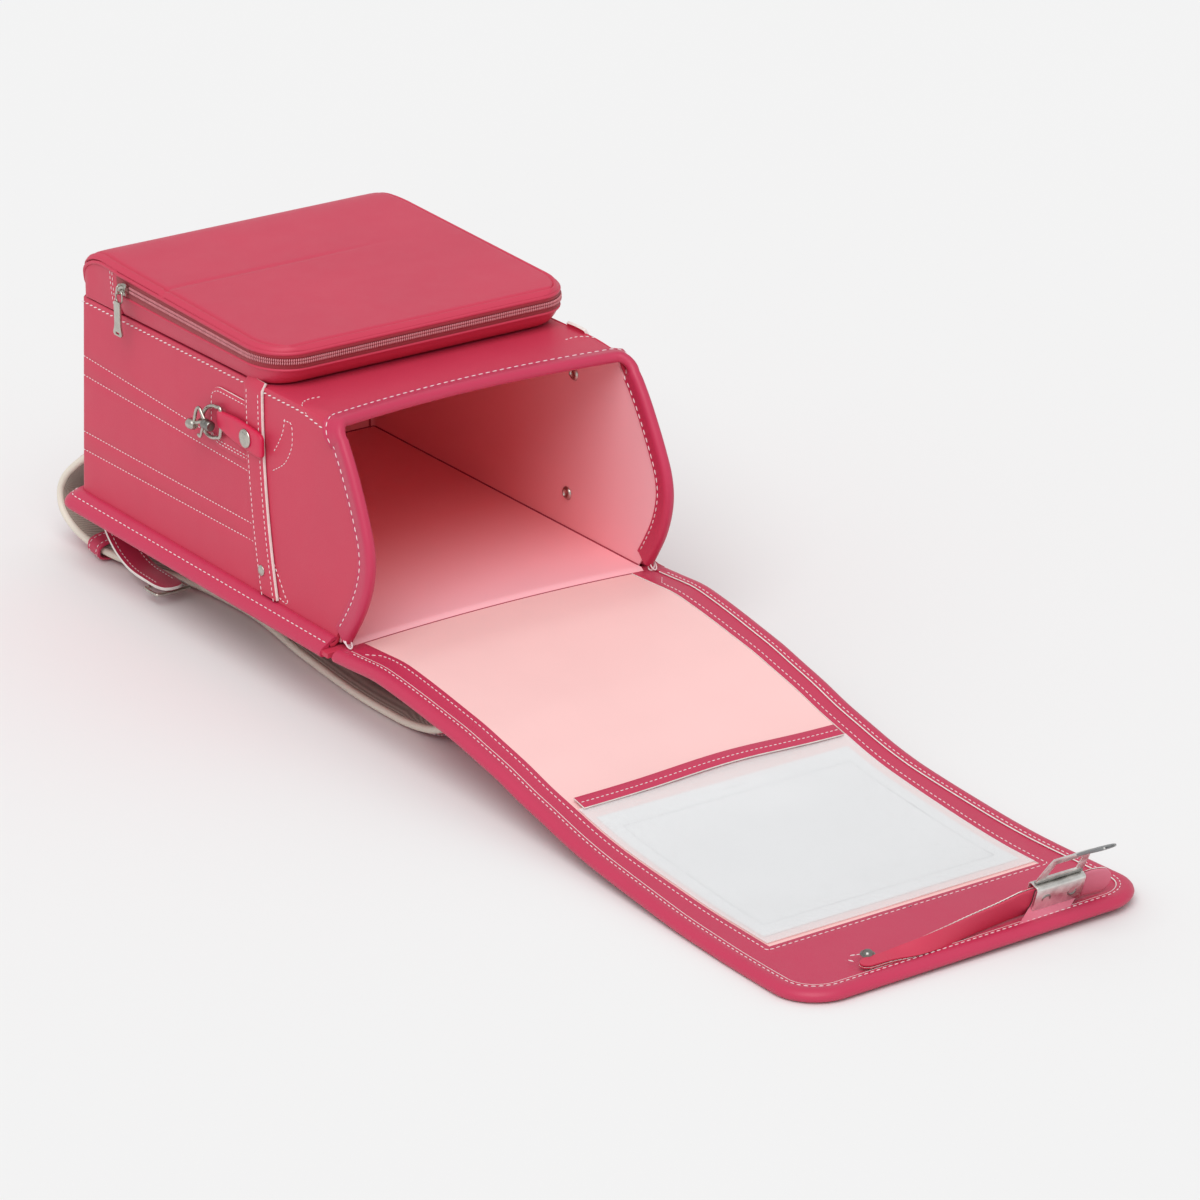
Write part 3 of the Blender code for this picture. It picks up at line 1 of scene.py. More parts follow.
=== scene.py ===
"""Looks of a school ransel that lies open on its back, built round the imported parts.

Shapes are worked out in bag coordinates in metres: X across the bag, Y = 0 at the flap's hinge
and growing towards the bag's bottom, Z = 0 on the inner face of the back board.
"""
import math

import bmesh
import bpy
from mathutils import Matrix, Vector


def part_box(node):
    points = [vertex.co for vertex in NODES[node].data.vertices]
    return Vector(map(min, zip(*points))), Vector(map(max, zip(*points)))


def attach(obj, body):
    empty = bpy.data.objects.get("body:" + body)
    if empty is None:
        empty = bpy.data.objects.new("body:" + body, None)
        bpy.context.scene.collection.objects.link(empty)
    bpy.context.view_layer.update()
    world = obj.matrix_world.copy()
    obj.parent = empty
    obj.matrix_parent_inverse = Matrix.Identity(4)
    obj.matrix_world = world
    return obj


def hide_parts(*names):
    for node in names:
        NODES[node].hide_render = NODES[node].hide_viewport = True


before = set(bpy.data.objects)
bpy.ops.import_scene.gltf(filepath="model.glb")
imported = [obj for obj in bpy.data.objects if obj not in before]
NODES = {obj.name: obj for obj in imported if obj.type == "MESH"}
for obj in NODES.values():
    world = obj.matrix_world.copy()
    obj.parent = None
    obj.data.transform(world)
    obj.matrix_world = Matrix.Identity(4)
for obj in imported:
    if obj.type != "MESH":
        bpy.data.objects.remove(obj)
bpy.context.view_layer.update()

# Clearances
GAP = 0.0003
SOFT_GAP = 0.0005

# Leather and board
WALL = 0.0022
LINING = 0.0010
BOARD = 0.0030
FLAP_LEATHER = 0.0018
BORDER_LEATHER = 0.0016
STRAP_LEATHER = 0.0022
TRIM_LEATHER = 0.0012
CUT_EDGE_ROUND = 0.00035

# Body
BODY_LENGTH = 0.3152
HALF_WIDTH = 0.1130
SIDE_TAPER = 0.0050
DEPTH_MOUTH = 0.1402
DEPTH_BOTTOM = 0.1354
BODY_CORNER = 0.0060
FOOT_HEIGHT = 0.0060
FLANGE_SECTION = ((0.0048, 0.0014), (0.0026, 0.0014), (0.0010, 0.0024), (0.0002, 0.0044))
FRONT_SINK = 0.0006
FOLD_ROUND = 0.0020
FOLD_REACH = 0.0450
HINGE_START = 0.0015
HINGE_CROWN = 0.0030
CROWN_REACH = 0.0550

# Mouth rim and its binding
MOUTH_BULGE = 0.0270
FRONT_EDGE_CORNER = 0.0140
FRONT_EDGE_MIDDLE = 0.0240
RIM_REACH = 0.0084
RIM_CORNER = 0.0070
RIM_START = 0.024
RIM_STITCH_BACK = 0.0112

# Flap
FLAP_LENGTH = 0.4760
FLAP_HALF_WIDTH = 0.1205
FLAP_WAIST = 0.0040
FLAP_TIP_CORNER = 0.0260
FLAP_DROP = 0.0435
HINGE_DEPTH = 0.0030
TIP_LIFT = -0.0018
PIPING_RADIUS = 0.0035
WINDOW_HALF_HINGE = 0.0990
WINDOW_HALF_TIP = 0.0957
WINDOW_END = 0.4090
EDGE_STITCH_IN = 0.0046
EDGE_LIP_IN = 0.0068
WINDOW_STITCH_OUT = 0.0038

# Clear pocket, its header and its card
HEADER_START = 0.2150
HEADER_WIDTH = 0.0110
FILM = 0.0004
FILM_OPACITY = 0.42
FILM_END = 0.4060
CARD = 0.0004
CARD_HALF_WIDTH = 0.0908
CARD_START = 0.2340
CARD_END = 0.3970
FRAME_HALF = 0.0820
RULE_HALF = 0.00016

# Front pocket
POCKET_HALF_WIDTH = 0.1070
POCKET_FRONT = 0.0895
POCKET_CORNER = 0.0200
POCKET_HEIGHT = 0.0265
POCKET_RISE = 0.3700
POCKET_SIDE_BULGE = 0.4500
POCKET_LEATHER = 0.0016
POCKET_EDGE = 0.0104
POCKET_EDGE_HEIGHT = 0.0232
POCKET_EDGE_ROLL = 0.0026
POCKET_END_Y = BODY_LENGTH - 0.0005
POCKET_END_CORNER = 0.0130
POCKET_END_IN = 0.0016
POCKET_LIFT = 0.0004
POCKET_END_SEAMS = (0.0055, 0.0085)
ZIP_START = 0.2620
TAPE_THICKNESS = 0.0008
CHAIN_RADIUS = 0.0015
CHAIN_HEIGHT = 0.0172
CHAIN_OUT = 0.0128
TOOTH_ROW = 0.00095
SLIDER_Y = 0.2500
SLIDER_DEPTH = 0.0036
PULL_WIDTH = 0.0075
PULL_THICKNESS = 0.0014
PULL_WINDOW = 0.0065

# Side straps
SIDE_STRAP_WIDTH = 0.0196
SIDE_STRAP_SEAMS = (-0.68, 0.68)
STRAP_LIFT = 0.0004
STRAP_CROWN = 0.0004
SMALL_RIVET_Z = 0.0215
STRAP_ENDS = {-1: (0.0820, 0.1042), 1: (0.0920, 0.0725)}
TAB_HEIGHT_Z = 0.1035
PATCH_LENGTH = 0.0440
PATCH_HEIGHT = 0.0390
PATCH_CORNER = 0.0140
PATCH_SEAMS_IN = (0.0026, 0.0046)
TAB_LENGTH = 0.0520
TAB_HALF_HEIGHT = 0.0082
TAB_THICKNESS = 0.0034
TAB_BEFORE = 0.0140
TAB_TILT = 0.0700
RIVET_AHEAD = 0.0036
RIVET_RADIUS = 0.0060
SMALL_RIVET_RADIUS = 0.0035
EYELET_RADIUS = 0.0045

# Snap hook
RING_WIRE = 0.0013
RING_LENGTH = 0.0210
RING_HEIGHT = 0.0205
KNOB_RADIUS = 0.0036
BLOCK_RADIUS = 0.0034
HOOK_WIRE = 0.0010

# Closure strap, hasp and tongue
CLOSURE_WIDTH = 0.0175
CLOSURE_LEATHER = 0.0026
CLOSURE_FACE = 0.0011
CLOSURE_CORE = 0.0005
CLOSURE_BACK = 0.0010
CLOSURE_SEAMS = (-0.32, 0.32)
CLOSURE_SLIM = 0.46
CLOSURE_START_LOWER = 0.0030
CLOSURE_RIVET_UP = 0.0080
FREE_END_AT = 0.6700
CLOSURE_RIVET_AT = -0.5400
HASP_AT = 0.5150
HASP_WIDTH = 0.0350
HASP_HEIGHT = 0.0165
HASP_FOLD = 0.0086
HASP_METAL = 0.0010
HASP_FOLD_ROUND = 0.0022
HASP_MARK_X = 0.0092
TONGUE_LENGTH = 0.0570
TONGUE_METAL = 0.0012
TONGUE_BEND = 0.3600
HINGE_PIN = 0.0011

# Shoulder straps and cushion
CUSHION_THICKNESS = 0.0120
CUSHION_HALF_WIDTH = 0.0950
CUSHION_START = 0.0800
CUSHION_END = 0.2920
FLOOR_DROP = 0.0505
SHOULDER_THICKNESS = 0.0090
SHOULDER_WIDTH = 0.0400
BELT_WIDTH = 0.0180
BELT_LEATHER = 0.0022
KEEPER_LEATHER = 0.0014
KEEPER_LENGTH = 0.0140
KEEPER_Y = 0.3200
BUCKLE_WIRE = 0.0012
BELT_SEAMS = (-0.68, 0.68)
KEEPER_SEAMS = (-0.30, 0.30)
CREAM_ROLL = 0.0025
LOCK_RIVET_X = 0.0175

# Camera and light; angles in degrees, the lens in millimetres
CAMERA_AZIMUTH = -34.85
CAMERA_ELEVATION = 22.06
CAMERA_LENS = 181.29
CAMERA_PLACE = (-1.91047, -2.77988, 1.44638)
SKY_STRENGTH = 0.63
SUN_STRENGTH = 1.60
SUN_ANGLE = 45
SUN_FROM = (-0.55, -0.55, 1.0)

# Rim in side view: share of the depth, share of the bulge
RIM_TABLE = (
    (0.00, 0.00), (0.10, -0.36), (0.20, -0.68), (0.31, -0.91), (0.41, -1.00),
    (0.51, -0.94), (0.61, -0.74), (0.72, -0.46), (0.83, -0.14), (0.92, 0.18), (1.00, 0.52),
)

# Flap in side view: share of the length, share of the drop
FLAP_TABLE = (
    (0.000, 0.00), (0.045, -0.03), (0.095, -0.06), (0.140, -0.02), (0.185, 0.04), (0.230, 0.11),
    (0.273, 0.18), (0.317, 0.28), (0.365, 0.39), (0.414, 0.53), (0.462, 0.64), (0.510, 0.75),
    (0.557, 0.83), (0.604, 0.88), (0.665, 0.93), (0.745, 0.985), (0.822, 1.00), (0.897, 0.99),
    (1.000, 0.955),
)

# Binding over the mouth's edge: how far out of the wall's middle, how far behind the rim
RIM_SECTION = (
    (1.85, 9.2), (1.85, 14.0), (2.55, 13.9), (2.85, 13.3), (2.80, 12.2), (2.45, 11.2), (2.85, 10.1),
    (3.00, 8.0), (3.35, 5.6), (3.50, 3.6), (3.10, 1.6), (2.00, 0.4), (0.60, 0.0), (-0.60, 0.0),
    (-2.00, 0.4), (-3.10, 1.6), (-3.45, 3.6), (-3.25, 5.6), (-2.95, 8.0), (-2.80, 10.1),
    (-2.45, 11.2), (-2.75, 12.1), (-2.75, 12.9), (-2.45, 13.3), (-1.85, 13.3), (-1.85, 9.2),
)

# Strip over the back edge: how far out of the side wall, height
BACK_SECTION = (
    (0.4, 3.2), (0.3, 4.7), (1.5, 5.0), (3.6, 4.3), (5.2, 3.3), (6.2, 2.5), (7.2, 1.8), (8.8, 1.0),
    (10.5, -0.2), (11.8, -1.6), (12.5, -3.1), (12.5, -4.5), (11.6, -5.6), (10.1, -6.2), (7.2, -6.0),
    (3.4, -5.7), (3.2, -4.9), (10.2, -4.7), (10.9, -3.4), (9.8, -1.2), (6.2, -1.1), (5.2, 1.2),
    (3.0, 2.4),
)

# Strip over the flap's edge: how far out of its middle line, height over the flap's middle
FLAP_EDGE_SECTION = (
    (-6.8, 2.95), (-6.8, 3.75), (-6.3, 4.0), (-5.4, 3.95), (-4.6, 3.65), (-3.8, 3.95), (-2.0, 4.1),
    (0.0, 3.7), (1.8, 2.7), (3.0, 1.3), (3.5, -0.2), (3.1, -1.8), (1.9, -3.0), (0.2, -3.5),
    (-2.2, -3.2), (-5.6, -2.3), (-6.6, -1.9), (-6.6, -1.1), (-1.6, -1.6), (-0.6, 0.4), (-1.8, 2.6),
)

# Pocket's roll-over at the bag's bottom: share of its length, share of its height
POCKET_ROLL_TABLE = (
    (0.000, 1.00), (0.750, 1.00), (0.860, 0.995), (0.915, 0.93), (0.955, 0.80), (0.985, 0.58),
    (1.000, 0.30),
)

# Double stitch lines on the sides: share of the height at the bag's bottom and at the strap
SEAM_LINES = ((0.206, 0.224), (0.302, 0.308), (0.601, 0.557), (0.702, 0.624))
SEAM_REACH = 0.007
SEAM_GROOVE = 0.00035
SEAM_END_Y = 0.1080

# Shoulder strap: y as a share of the body's length, height as a share of the floor drop,
# middle x as a share of the half width, width as a share of the strap's
SHOULDER_TABLE = (
    (0.215, -0.2665, 0.27, 0.80), (0.060, -0.292, 0.36, 0.95), (-0.110, -0.290, 0.47, 1.00),
    (-0.195, -0.330, 0.52, 1.00), (-0.232, -0.460, 0.56, 1.00), (-0.222, -0.640, 0.58, 1.00),
    (-0.165, -0.820, 0.59, 1.00), (-0.060, -0.911, 0.60, 1.00), (0.100, -0.911, 0.60, 1.00),
    (0.330, -0.911, 0.54, 1.00), (0.550, -0.911, 0.46, 1.00), (0.760, -0.905, 0.50, 0.95),
    (0.900, -0.890, 0.62, 0.95), (1.000, -0.835, 0.70, 0.95), (1.080, -0.740, 0.73, 0.95),
    (1.135, -0.550, 0.74, 0.95), (1.150, -0.300, 0.74, 0.92), (1.130, -0.050, 0.74, 0.88),
    (1.090, 0.180, 0.74, 0.80), (1.050, 0.360, 0.74, 0.70),
)

# Lower belt down to its buckle: y as a share of the body's length, height as a share of the
# floor drop, middle x as a share of the half width
BELT_TABLE = (
    (0.933, -0.1145, 0.80), (0.948, -0.1145, 0.80), (0.968, -0.22, 0.82), (0.960, -0.38, 0.84),
    (0.930, -0.54, 0.85), (0.890, -0.66, 0.86), (0.840, -0.745, 0.865), (0.770, -0.765, 0.865),
    (0.715, -0.765, 0.865),
)

# Closure strap: x as a share of the flap's half width, the lower edge's place back from the
# tip as a share of the strap's width, its lift, and the turn of its face from flat
CLOSURE_TABLE = (
    (-0.620, 0.60, 0.03, 8), (-0.550, 0.56, 0.03, 8), (-0.480, 0.52, 0.03, 8),
    (-0.425, 0.48, 0.04, 17),
    (-0.350, 0.44, 0.06, 38), (-0.240, 0.46, 0.08, 62), (-0.120, 0.54, 0.09, 82),
    (0.020, 0.66, 0.09, 96),
    (0.160, 0.78, 0.07, 105), (0.300, 0.85, 0.07, 108), (0.475, 0.85, 0.07, 108),
    (0.650, 0.85, 0.07, 108), (0.750, 0.78, 0.07, 104), (0.840, 0.72, 0.06, 100),
)

MM = 0.001
UP = Vector((0, 0, 1))
ACROSS = Vector((1, 0, 0))
SIDES = ((-1, "left"), (1, "right"))

# Half of the wall, its lining and the gap between them
WALL_MIDDLE = (WALL + GAP + LINING) / 2

# Where bag coordinates lie in the frame: the back lining starts at the hinge, its face at Z = 0
LINING_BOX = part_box("back_lining")
BAG = Vector((0, LINING_BOX[0].y - HINGE_START, LINING_BOX[1].z))


def mixed(first, second, share):
    return first + (second - first) * share


def eased(share):
    """A soft step from 0 to 1."""
    share = min(max(share, 0.0), 1.0)
    return share * share * (3 - 2 * share)


def read_table(table, position):
    """Smooth reading of a table whose first column rises; gives its other columns."""
    last = len(table) - 2
    i = 0
    while i < last and table[i + 1][0] < position:
        i += 1
    start, end = table[i], table[i + 1]
    before, after = table[max(i - 1, 0)], table[min(i + 2, last + 1)]
    width = end[0] - start[0]
    t = min(max((position - start[0]) / width, 0.0), 1.0)
    found = []
    for a, b, c, d in zip(before[1:], start[1:], end[1:], after[1:]):
        leave = (c - a) / (end[0] - before[0]) * width
        arrive = (d - b) / (after[0] - start[0]) * width
        found.append(b + leave * t + (3 * (c - b) - 2 * leave - arrive) * t ** 2
                     + (2 * (b - c) + leave + arrive) * t ** 3)
    return found


def smoothed(rows, cuts):
    """Points of a smooth curve through rows of equal length."""
    out = []
    for i in range(len(rows) - 1):
        before = rows[max(i - 1, 0)]
        after = rows[min(i + 2, len(rows) - 1)]
        for step in range(cuts):
            t = step / cuts
            out.append([
                0.5 * (2 * b + (c - a) * t + (2 * a - 5 * b + 4 * c - d) * t * t
                       + (3 * b - a - 3 * c + d) * t ** 3)
                for a, b, c, d in zip(before, rows[i], rows[i + 1], after)
            ])
    return out + [list(rows[-1])]


def spread(start, end, count):
    """Evenly spread values, both ends included."""
    return [start + (end - start) * k / (count - 1) for k in range(count)]


def way_at(points, i):
    """The way along a path at one of its points, from its neighbours."""
    return points[min(i + 1, len(points) - 1)] - points[max(i - 1, 0)]


def signed_power(value, power):
    return abs(value) ** power * (1 if value > 0 else -1)


def frame_of(x_way, y_way, z_way, origin):
    placed = Matrix((x_way, y_way, z_way)).transposed().to_4x4()
    placed.translation = origin
    return placed


def scaled(points):
    """A table in millimetres as points in metres."""
    return [tuple(value * MM for value in point) for point in points]


def in_scene(obj):
    bpy.context.scene.collection.objects.link(obj)
    return obj


# Materials

def new_material(name, colour, roughness, metallic=0.0):
    made = bpy.data.materials.new(name)
    made.use_nodes = True
    shader = made.node_tree.nodes["Principled BSDF"]
    shader.inputs["Base Color"].default_value = (*colour, 1.0)
    shader.inputs["Roughness"].default_value = roughness
    shader.inputs["Metallic"].default_value = metallic
    return made, made.node_tree, shader


def add_node(tree, kind, **values):
    """A shader node with its inputs set by name and its settings by attribute."""
    node = tree.nodes.new(kind)
    for key, value in values.items():
        if hasattr(node, key):
            setattr(node, key, value)
        else:
            node.inputs[key.replace("_", " ")].default_value = value
    return node


def noise(tree, coordinates, scale, detail=3.0, roughness=0.5):
    node = add_node(tree, "ShaderNodeTexNoise", Scale=scale, Detail=detail, Roughness=roughness)
    tree.links.new(coordinates, node.inputs["Vector"])
    return node.outputs["Fac"]


def object_place(tree):
    return tree.nodes.new("ShaderNodeTexCoord").outputs["Object"]


def ranged(tree, value, low, high, new_low=0.0, new_high=1.0):
    node = tree.nodes.new("ShaderNodeMapRange")
    node.inputs["From Min"].default_value = low
    node.inputs["From Max"].default_value = high
    node.inputs["To Min"].default_value = new_low
    node.inputs["To Max"].default_value = new_high
    tree.links.new(value, node.inputs["Value"])
    return node.outputs["Result"]


def blended(tree, share, first, second):
    """A colour between two, by a share that a node gives."""
    node = tree.nodes.new("ShaderNodeMix")
    node.data_type = "RGBA"
    node.inputs["A"].default_value = (*first, 1.0)
    node.inputs["B"].default_value = (*second, 1.0)
    tree.links.new(share, node.inputs["Factor"])
    return node.outputs["Result"]


def bumped(tree, shader, height, strength, distance):
    node = tree.nodes.new("ShaderNodeBump")
    node.inputs["Strength"].default_value = strength
    node.inputs["Distance"].default_value = distance
    tree.links.new(height, node.inputs["Height"])
    tree.links.new(node.outputs["Normal"], shader.inputs["Normal"])
    return node


def shade(colour, factor):
    return tuple(min(channel * factor, 1.0) for channel in colour)


def cloudy(tree, shader, share, colour, darker, lighter):
    """A base colour that wanders between two shades of one colour."""
    tone = blended(tree, share, shade(colour, darker), shade(colour, lighter))
    tree.links.new(tone, shader.inputs["Base Color"])


def worn(tree, shader, value, low, high):
    """A roughness that wanders between two values."""
    tree.links.new(ranged(tree, value, 0.3, 0.7, low, high), shader.inputs["Roughness"])


def leather(name, colour, roughness=0.46, grain=0.22, pore_scale=950.0, variation=0.025):
    """Coated leather: fine pores, cloudy colour and a gloss that varies a little."""
    made, tree, shader = new_material(name, colour, roughness)
    place = object_place(tree)
    clouds = noise(tree, place, 14.0, 4.0)
    cloudy(tree, shader, ranged(tree, clouds, 0.3, 0.7), colour, 1 - variation, 1 + variation)
    worn(tree, shader, noise(tree, place, 55.0), roughness - 0.02, roughness + 0.03)
    pores = add_node(tree, "ShaderNodeTexVoronoi", Scale=pore_scale)
    pores.feature = "DISTANCE_TO_EDGE"
    tree.links.new(place, pores.inputs["Vector"])
    edges = ranged(tree, pores.outputs["Distance"], 0.0, 0.22)
    joined = add_node(tree, "ShaderNodeMath", operation="MULTIPLY_ADD")
    tree.links.new(noise(tree, place, 260.0, 2.0), joined.inputs[0])
    joined.inputs[1].default_value = 0.8
    tree.links.new(edges, joined.inputs[2])
    bumped(tree, shader, joined.outputs["Value"], grain, 0.00018)
    shader.inputs["Specular IOR Level"].default_value = 0.42
    return made


def textile(name, colour, dark, scale, roughness=0.85, strength=0.5):
    """A woven band or cloth: crossing threads from two waves, with a little sheen."""
    made, tree, shader = new_material(name, colour, roughness)
    place = object_place(tree)
    heights = []
    for direction in ("X", "Y", "Z"):
        wave = add_node(tree, "ShaderNodeTexWave", Scale=scale, Distortion=0.6)
        wave.bands_direction = direction
        tree.links.new(place, wave.inputs["Vector"])
        heights.append(wave.outputs["Fac"])
    joined = add_node(tree, "ShaderNodeMath", operation="MULTIPLY_ADD")
    for height, socket in zip(heights, joined.inputs):
        tree.links.new(height, socket)
    tone = blended(tree, ranged(tree, joined.outputs["Value"], 0.2, 1.6), dark, colour)
    tree.links.new(tone, shader.inputs["Base Color"])
    bumped(tree, shader, joined.outputs["Value"], strength, 0.0002)
    shader.inputs["Sheen Weight"].default_value = 0.25
    return made


def metal(name, colour, roughness=0.28):
    """Plated metal: fine brushing, faint stains and a gloss that varies."""
    made, tree, shader = new_material(name, colour, roughness, 1.0)
    place = object_place(tree)
    stains = noise(tree, place, 160.0, 4.0, 0.6)
    cloudy(tree, shader, ranged(tree, stains, 0.35, 0.7), colour, 0.80, 1.08)
    worn(tree, shader, stains, roughness - 0.08, roughness + 0.10)
    bumped(tree, shader, noise(tree, place, 900.0, 3.0), 0.12, 0.0001)
    return made


def plain_finish(name, colour, roughness, variation=0.05, scale=60.0, bump=0.08):
    """Paper, moulded plastic, thread or cut leather: a plain surface with faint cloudiness."""
    made, tree, shader = new_material(name, colour, roughness)
    place = object_place(tree)
    clouds = noise(tree, place, scale, 4.0)
    cloudy(tree, shader, ranged(tree, clouds, 0.3, 0.7), colour, 1 - variation, 1 + variation)
    worn(tree, shader, clouds, roughness - 0.04, roughness + 0.05)
    bumped(tree, shader, noise(tree, place, scale * 12, 2.0), bump, 0.0001)
    return made


def paint_shade_inwards(material, near, deep, reach):
    """Painted shade: fade a lining's colour from the mouth inwards to a darker, redder tone, for
    the shade inside the bag.
    """
    tree = material.node_tree
    place = object_place(tree)
    parts = tree.nodes.new("ShaderNodeSeparateXYZ")
    tree.links.new(place, parts.inputs["Vector"])
    share = ranged(tree, parts.outputs["Y"], BAG.y - 0.01, BAG.y + reach)
    shader = tree.nodes["Principled BSDF"]
    tree.links.new(blended(tree, share, near, deep), shader.inputs["Base Color"])


LEATHER = leather("pink_coated_leather", (0.600, 0.042, 0.092))
BINDING = leather("deep_pink_binding", (0.560, 0.036, 0.098), roughness=0.40)
# Dark red for the cords inside the bag: a dark seam line with painted shade of the corners, and
# painted shade of the hinge's crease.
DARK_SEAM_SHADE = leather("dark_red_seam_painted_shade", (0.360, 0.030, 0.060), roughness=0.50)
BRIGHT_STRAP = leather("light_pink_strap_face", (0.720, 0.190, 0.270), roughness=0.42)
LINING_FLAP = leather("pale_pink_lining", (0.960, 0.600, 0.585), roughness=0.52, grain=0.08,
                      variation=0.015)
# The body's lining is really the flap lining's pale pink; its rose colour, fading darker and redder
# from the mouth inwards, is painted shade of the bag's inside.
SHADED_BODY_LINING = leather("rose_lining_painted_shade", (0.965, 0.400, 0.425), roughness=0.50, grain=0.08,
                      variation=0.02)
paint_shade_inwards(SHADED_BODY_LINING, (0.965, 0.520, 0.570), (0.995, 0.300, 0.325), 0.150)
RAW_EDGE = plain_finish("raw_cut_edge", (0.860, 0.830, 0.790), 0.80, 0.08, 300.0, 0.3)
THREAD = plain_finish("white_thread", (0.860, 0.740, 0.750), 0.70, 0.04, 400.0, 0.4)
DARK_CUT = plain_finish("dark_cut_edge", (0.060, 0.035, 0.030), 0.80, 0.10, 300.0, 0.3)
INK = plain_finish("faint_grey_ruling", (0.300, 0.310, 0.330), 0.80, 0.05, 200.0, 0.0)
GREY_PLASTIC = plain_finish("grey_plastic", (0.200, 0.205, 0.210), 0.42, 0.06, 150.0, 0.05)
PAPER = plain_finish("card_paper", (0.860, 0.870, 0.890), 0.75, 0.02, 20.0, 0.05)
TAB_PLASTIC = plain_finish("bright_pink_plastic", (0.640, 0.012, 0.070), 0.40, 0.05, 90.0, 0.05)
ZIP_CLOTH = textile("zip_tape_cloth", (0.400, 0.017, 0.036), (0.260, 0.009, 0.020), 700.0)
ZIP_COIL = plain_finish("zip_coil", (0.640, 0.230, 0.260), 0.26, 0.05, 200.0, 0.05)
NICKEL = metal("aged_nickel", (0.560, 0.535, 0.480))
BRIGHT_METAL = metal("bright_nickel", (0.800, 0.790, 0.760), 0.36)
DARK_NICKEL = metal("dark_nickel", (0.300, 0.290, 0.270), 0.32)
CREAM = leather("cream_piping", (0.780, 0.720, 0.620), roughness=0.50, grain=0.15)
PAD_MESH = textile("grey_brown_mesh", (0.470, 0.390, 0.330), (0.200, 0.150, 0.120), 420.0, 0.9, 0.9)


def clear_film():
    """The pocket's film: almost clear, with gloss and faint waves."""
    made, tree, shader = new_material("clear_film", (0.97, 0.975, 0.98), 0.12)
    place = object_place(tree)
    bumped(tree, shader, noise(tree, place, 22.0, 2.0), 0.25, 0.0008)
    worn(tree, shader, noise(tree, place, 40.0), 0.09, 0.17)
    shader.inputs["Alpha"].default_value = FILM_OPACITY
    return made


FILM_CLEAR = clear_film()


# Meshes

def linked(name, mesh, finishes):
    """An object at the frame's origin whose mesh moves from bag coordinates to the frame."""
    mesh.transform(Matrix.Translation(BAG))
    obj = in_scene(bpy.data.objects.new(name, mesh))
    for finish in finishes:
        mesh.materials.append(finish)
    return obj


def settled(obj, sharp=38.0):
    """The object with its modifiers turned into a plain mesh, smooth but for its sharp edges."""
    name = obj.name
    graph = bpy.context.evaluated_depsgraph_get()
    mesh = bpy.data.meshes.new_from_object(obj.evaluated_get(graph))
    bpy.data.objects.remove(obj, do_unlink=True)
    mesh.name = name
    mesh.shade_smooth()
    mesh.set_sharp_from_angle(angle=math.radians(sharp))
    return in_scene(bpy.data.objects.new(name, mesh))


def mesh_of(bm, name):
    mesh = bpy.data.meshes.new(name)
    bm.to_mesh(mesh)
    bm.free()
    return mesh


def hide(name, rows, thickness, finishes, offset=-1.0, flip=False, holes=(), edge=CUT_EDGE_ROUND,
         sharp=38.0):
    """Cut leather or cloth: a grid of points with a thickness and softened cut edges.

    A second finish is the look of the cut edge.
    """
    bm = bmesh.new()
    grid = [[bm.verts.new(point) for point in row] for row in rows]
    for i in range(len(grid) - 1):
        for j in range(len(grid[0]) - 1):
            if (i, j) in holes:
                continue
            face = [grid[i][j], grid[i][j + 1], grid[i + 1][j + 1], grid[i + 1][j]]
            bm.faces.new(face[::-1] if flip else face)
    loose = [vert for vert in bm.verts if not vert.link_faces]
    bmesh.ops.delete(bm, geom=loose, context="VERTS")
    finishes = finishes if isinstance(finishes, tuple) else (finishes,)
    obj = linked(name, mesh_of(bm, name), finishes)
    solid = obj.modifiers.new("thickness", "SOLIDIFY")
    solid.thickness = thickness
    solid.offset = offset
    solid.use_even_offset = True
    if len(finishes) > 1:
        solid.material_offset_rim = 1
    if edge:
        soft = obj.modifiers.new("soft_edge", "BEVEL")
        soft.width = min(edge, thickness * 0.3)
        soft.segments = 2
        soft.limit_method = "ANGLE"
        soft.angle_limit = math.radians(55)
    return settled(obj, sharp)


def ringed(name, rings, finish, closed=False, caps=True, sharp=50.0):
    """A closed skin through rings of equal point count."""
    bm = bmesh.new()
    made = [[bm.verts.new(point) for point in ring] for ring in rings]
    count = len(made[0])
    pairs = list(zip(made, made[1:])) + ([(made[-1], made[0])] if closed else [])
    for first, second in pairs:
        for k in range(count):
            after = (k + 1) % count
            bm.faces.new((first[k], first[after], second[after], second[k]))
    if caps and not closed:
        bm.faces.new(made[0][::-1])
        bm.faces.new(made[-1])
    bmesh.ops.recalc_face_normals(bm, faces=bm.faces)
    obj = linked(name, mesh_of(bm, name), (finish,))
    return settled(obj, sharp)


def frames_along(points, first_side=None):
    """For each point of a path: the way along, and two directions across it that don't twist."""
    ways = [way_at(points, i).normalized() for i in range(len(points))]
    side = first_side or (UP if abs(ways[0].z) < 0.9 else ACROSS)
    found = []
    for way in ways:
        side = (side - way * side.dot(way)).normalized()
        found.append((way, side, way.cross(side)))
    return found


def wire(name, points, radius, finish, sides=12, flat=1.0, closed=False, first_side=None):
    """A round wire, cord or roll along a path, with rounded ends."""
    points = [Vector(point) for point in points]
    if closed:
        points = points + points[:1]
    rings = []
    frames = frames_along(points, first_side)
    turns = [2 * math.pi * k / sides for k in range(sides)]

    def ring(centre, side, other, size):
        return [centre + side * (math.cos(t) * size * flat) + other * (math.sin(t) * size)
                for t in turns]

    if not closed:
        way, side, other = frames[0]
        for back, size in ((1.0, 0.25), (0.85, 0.62), (0.5, 0.90)):
            rings.append(ring(points[0] - way * (radius * back * flat), side, other, radius * size))
    for point, (way, side, other) in zip(points, frames):
        rings.append(ring(point, side, other, radius))
    if not closed:
        way, side, other = frames[-1]
        for ahead, size in ((0.5, 0.90), (0.85, 0.62), (1.0, 0.25)):
            rings.append(ring(points[-1] + way * (radius * ahead * flat), side, other,
                              radius * size))
        return ringed(name, rings, finish)
    return ringed(name, rings[:-1], finish, closed=True)


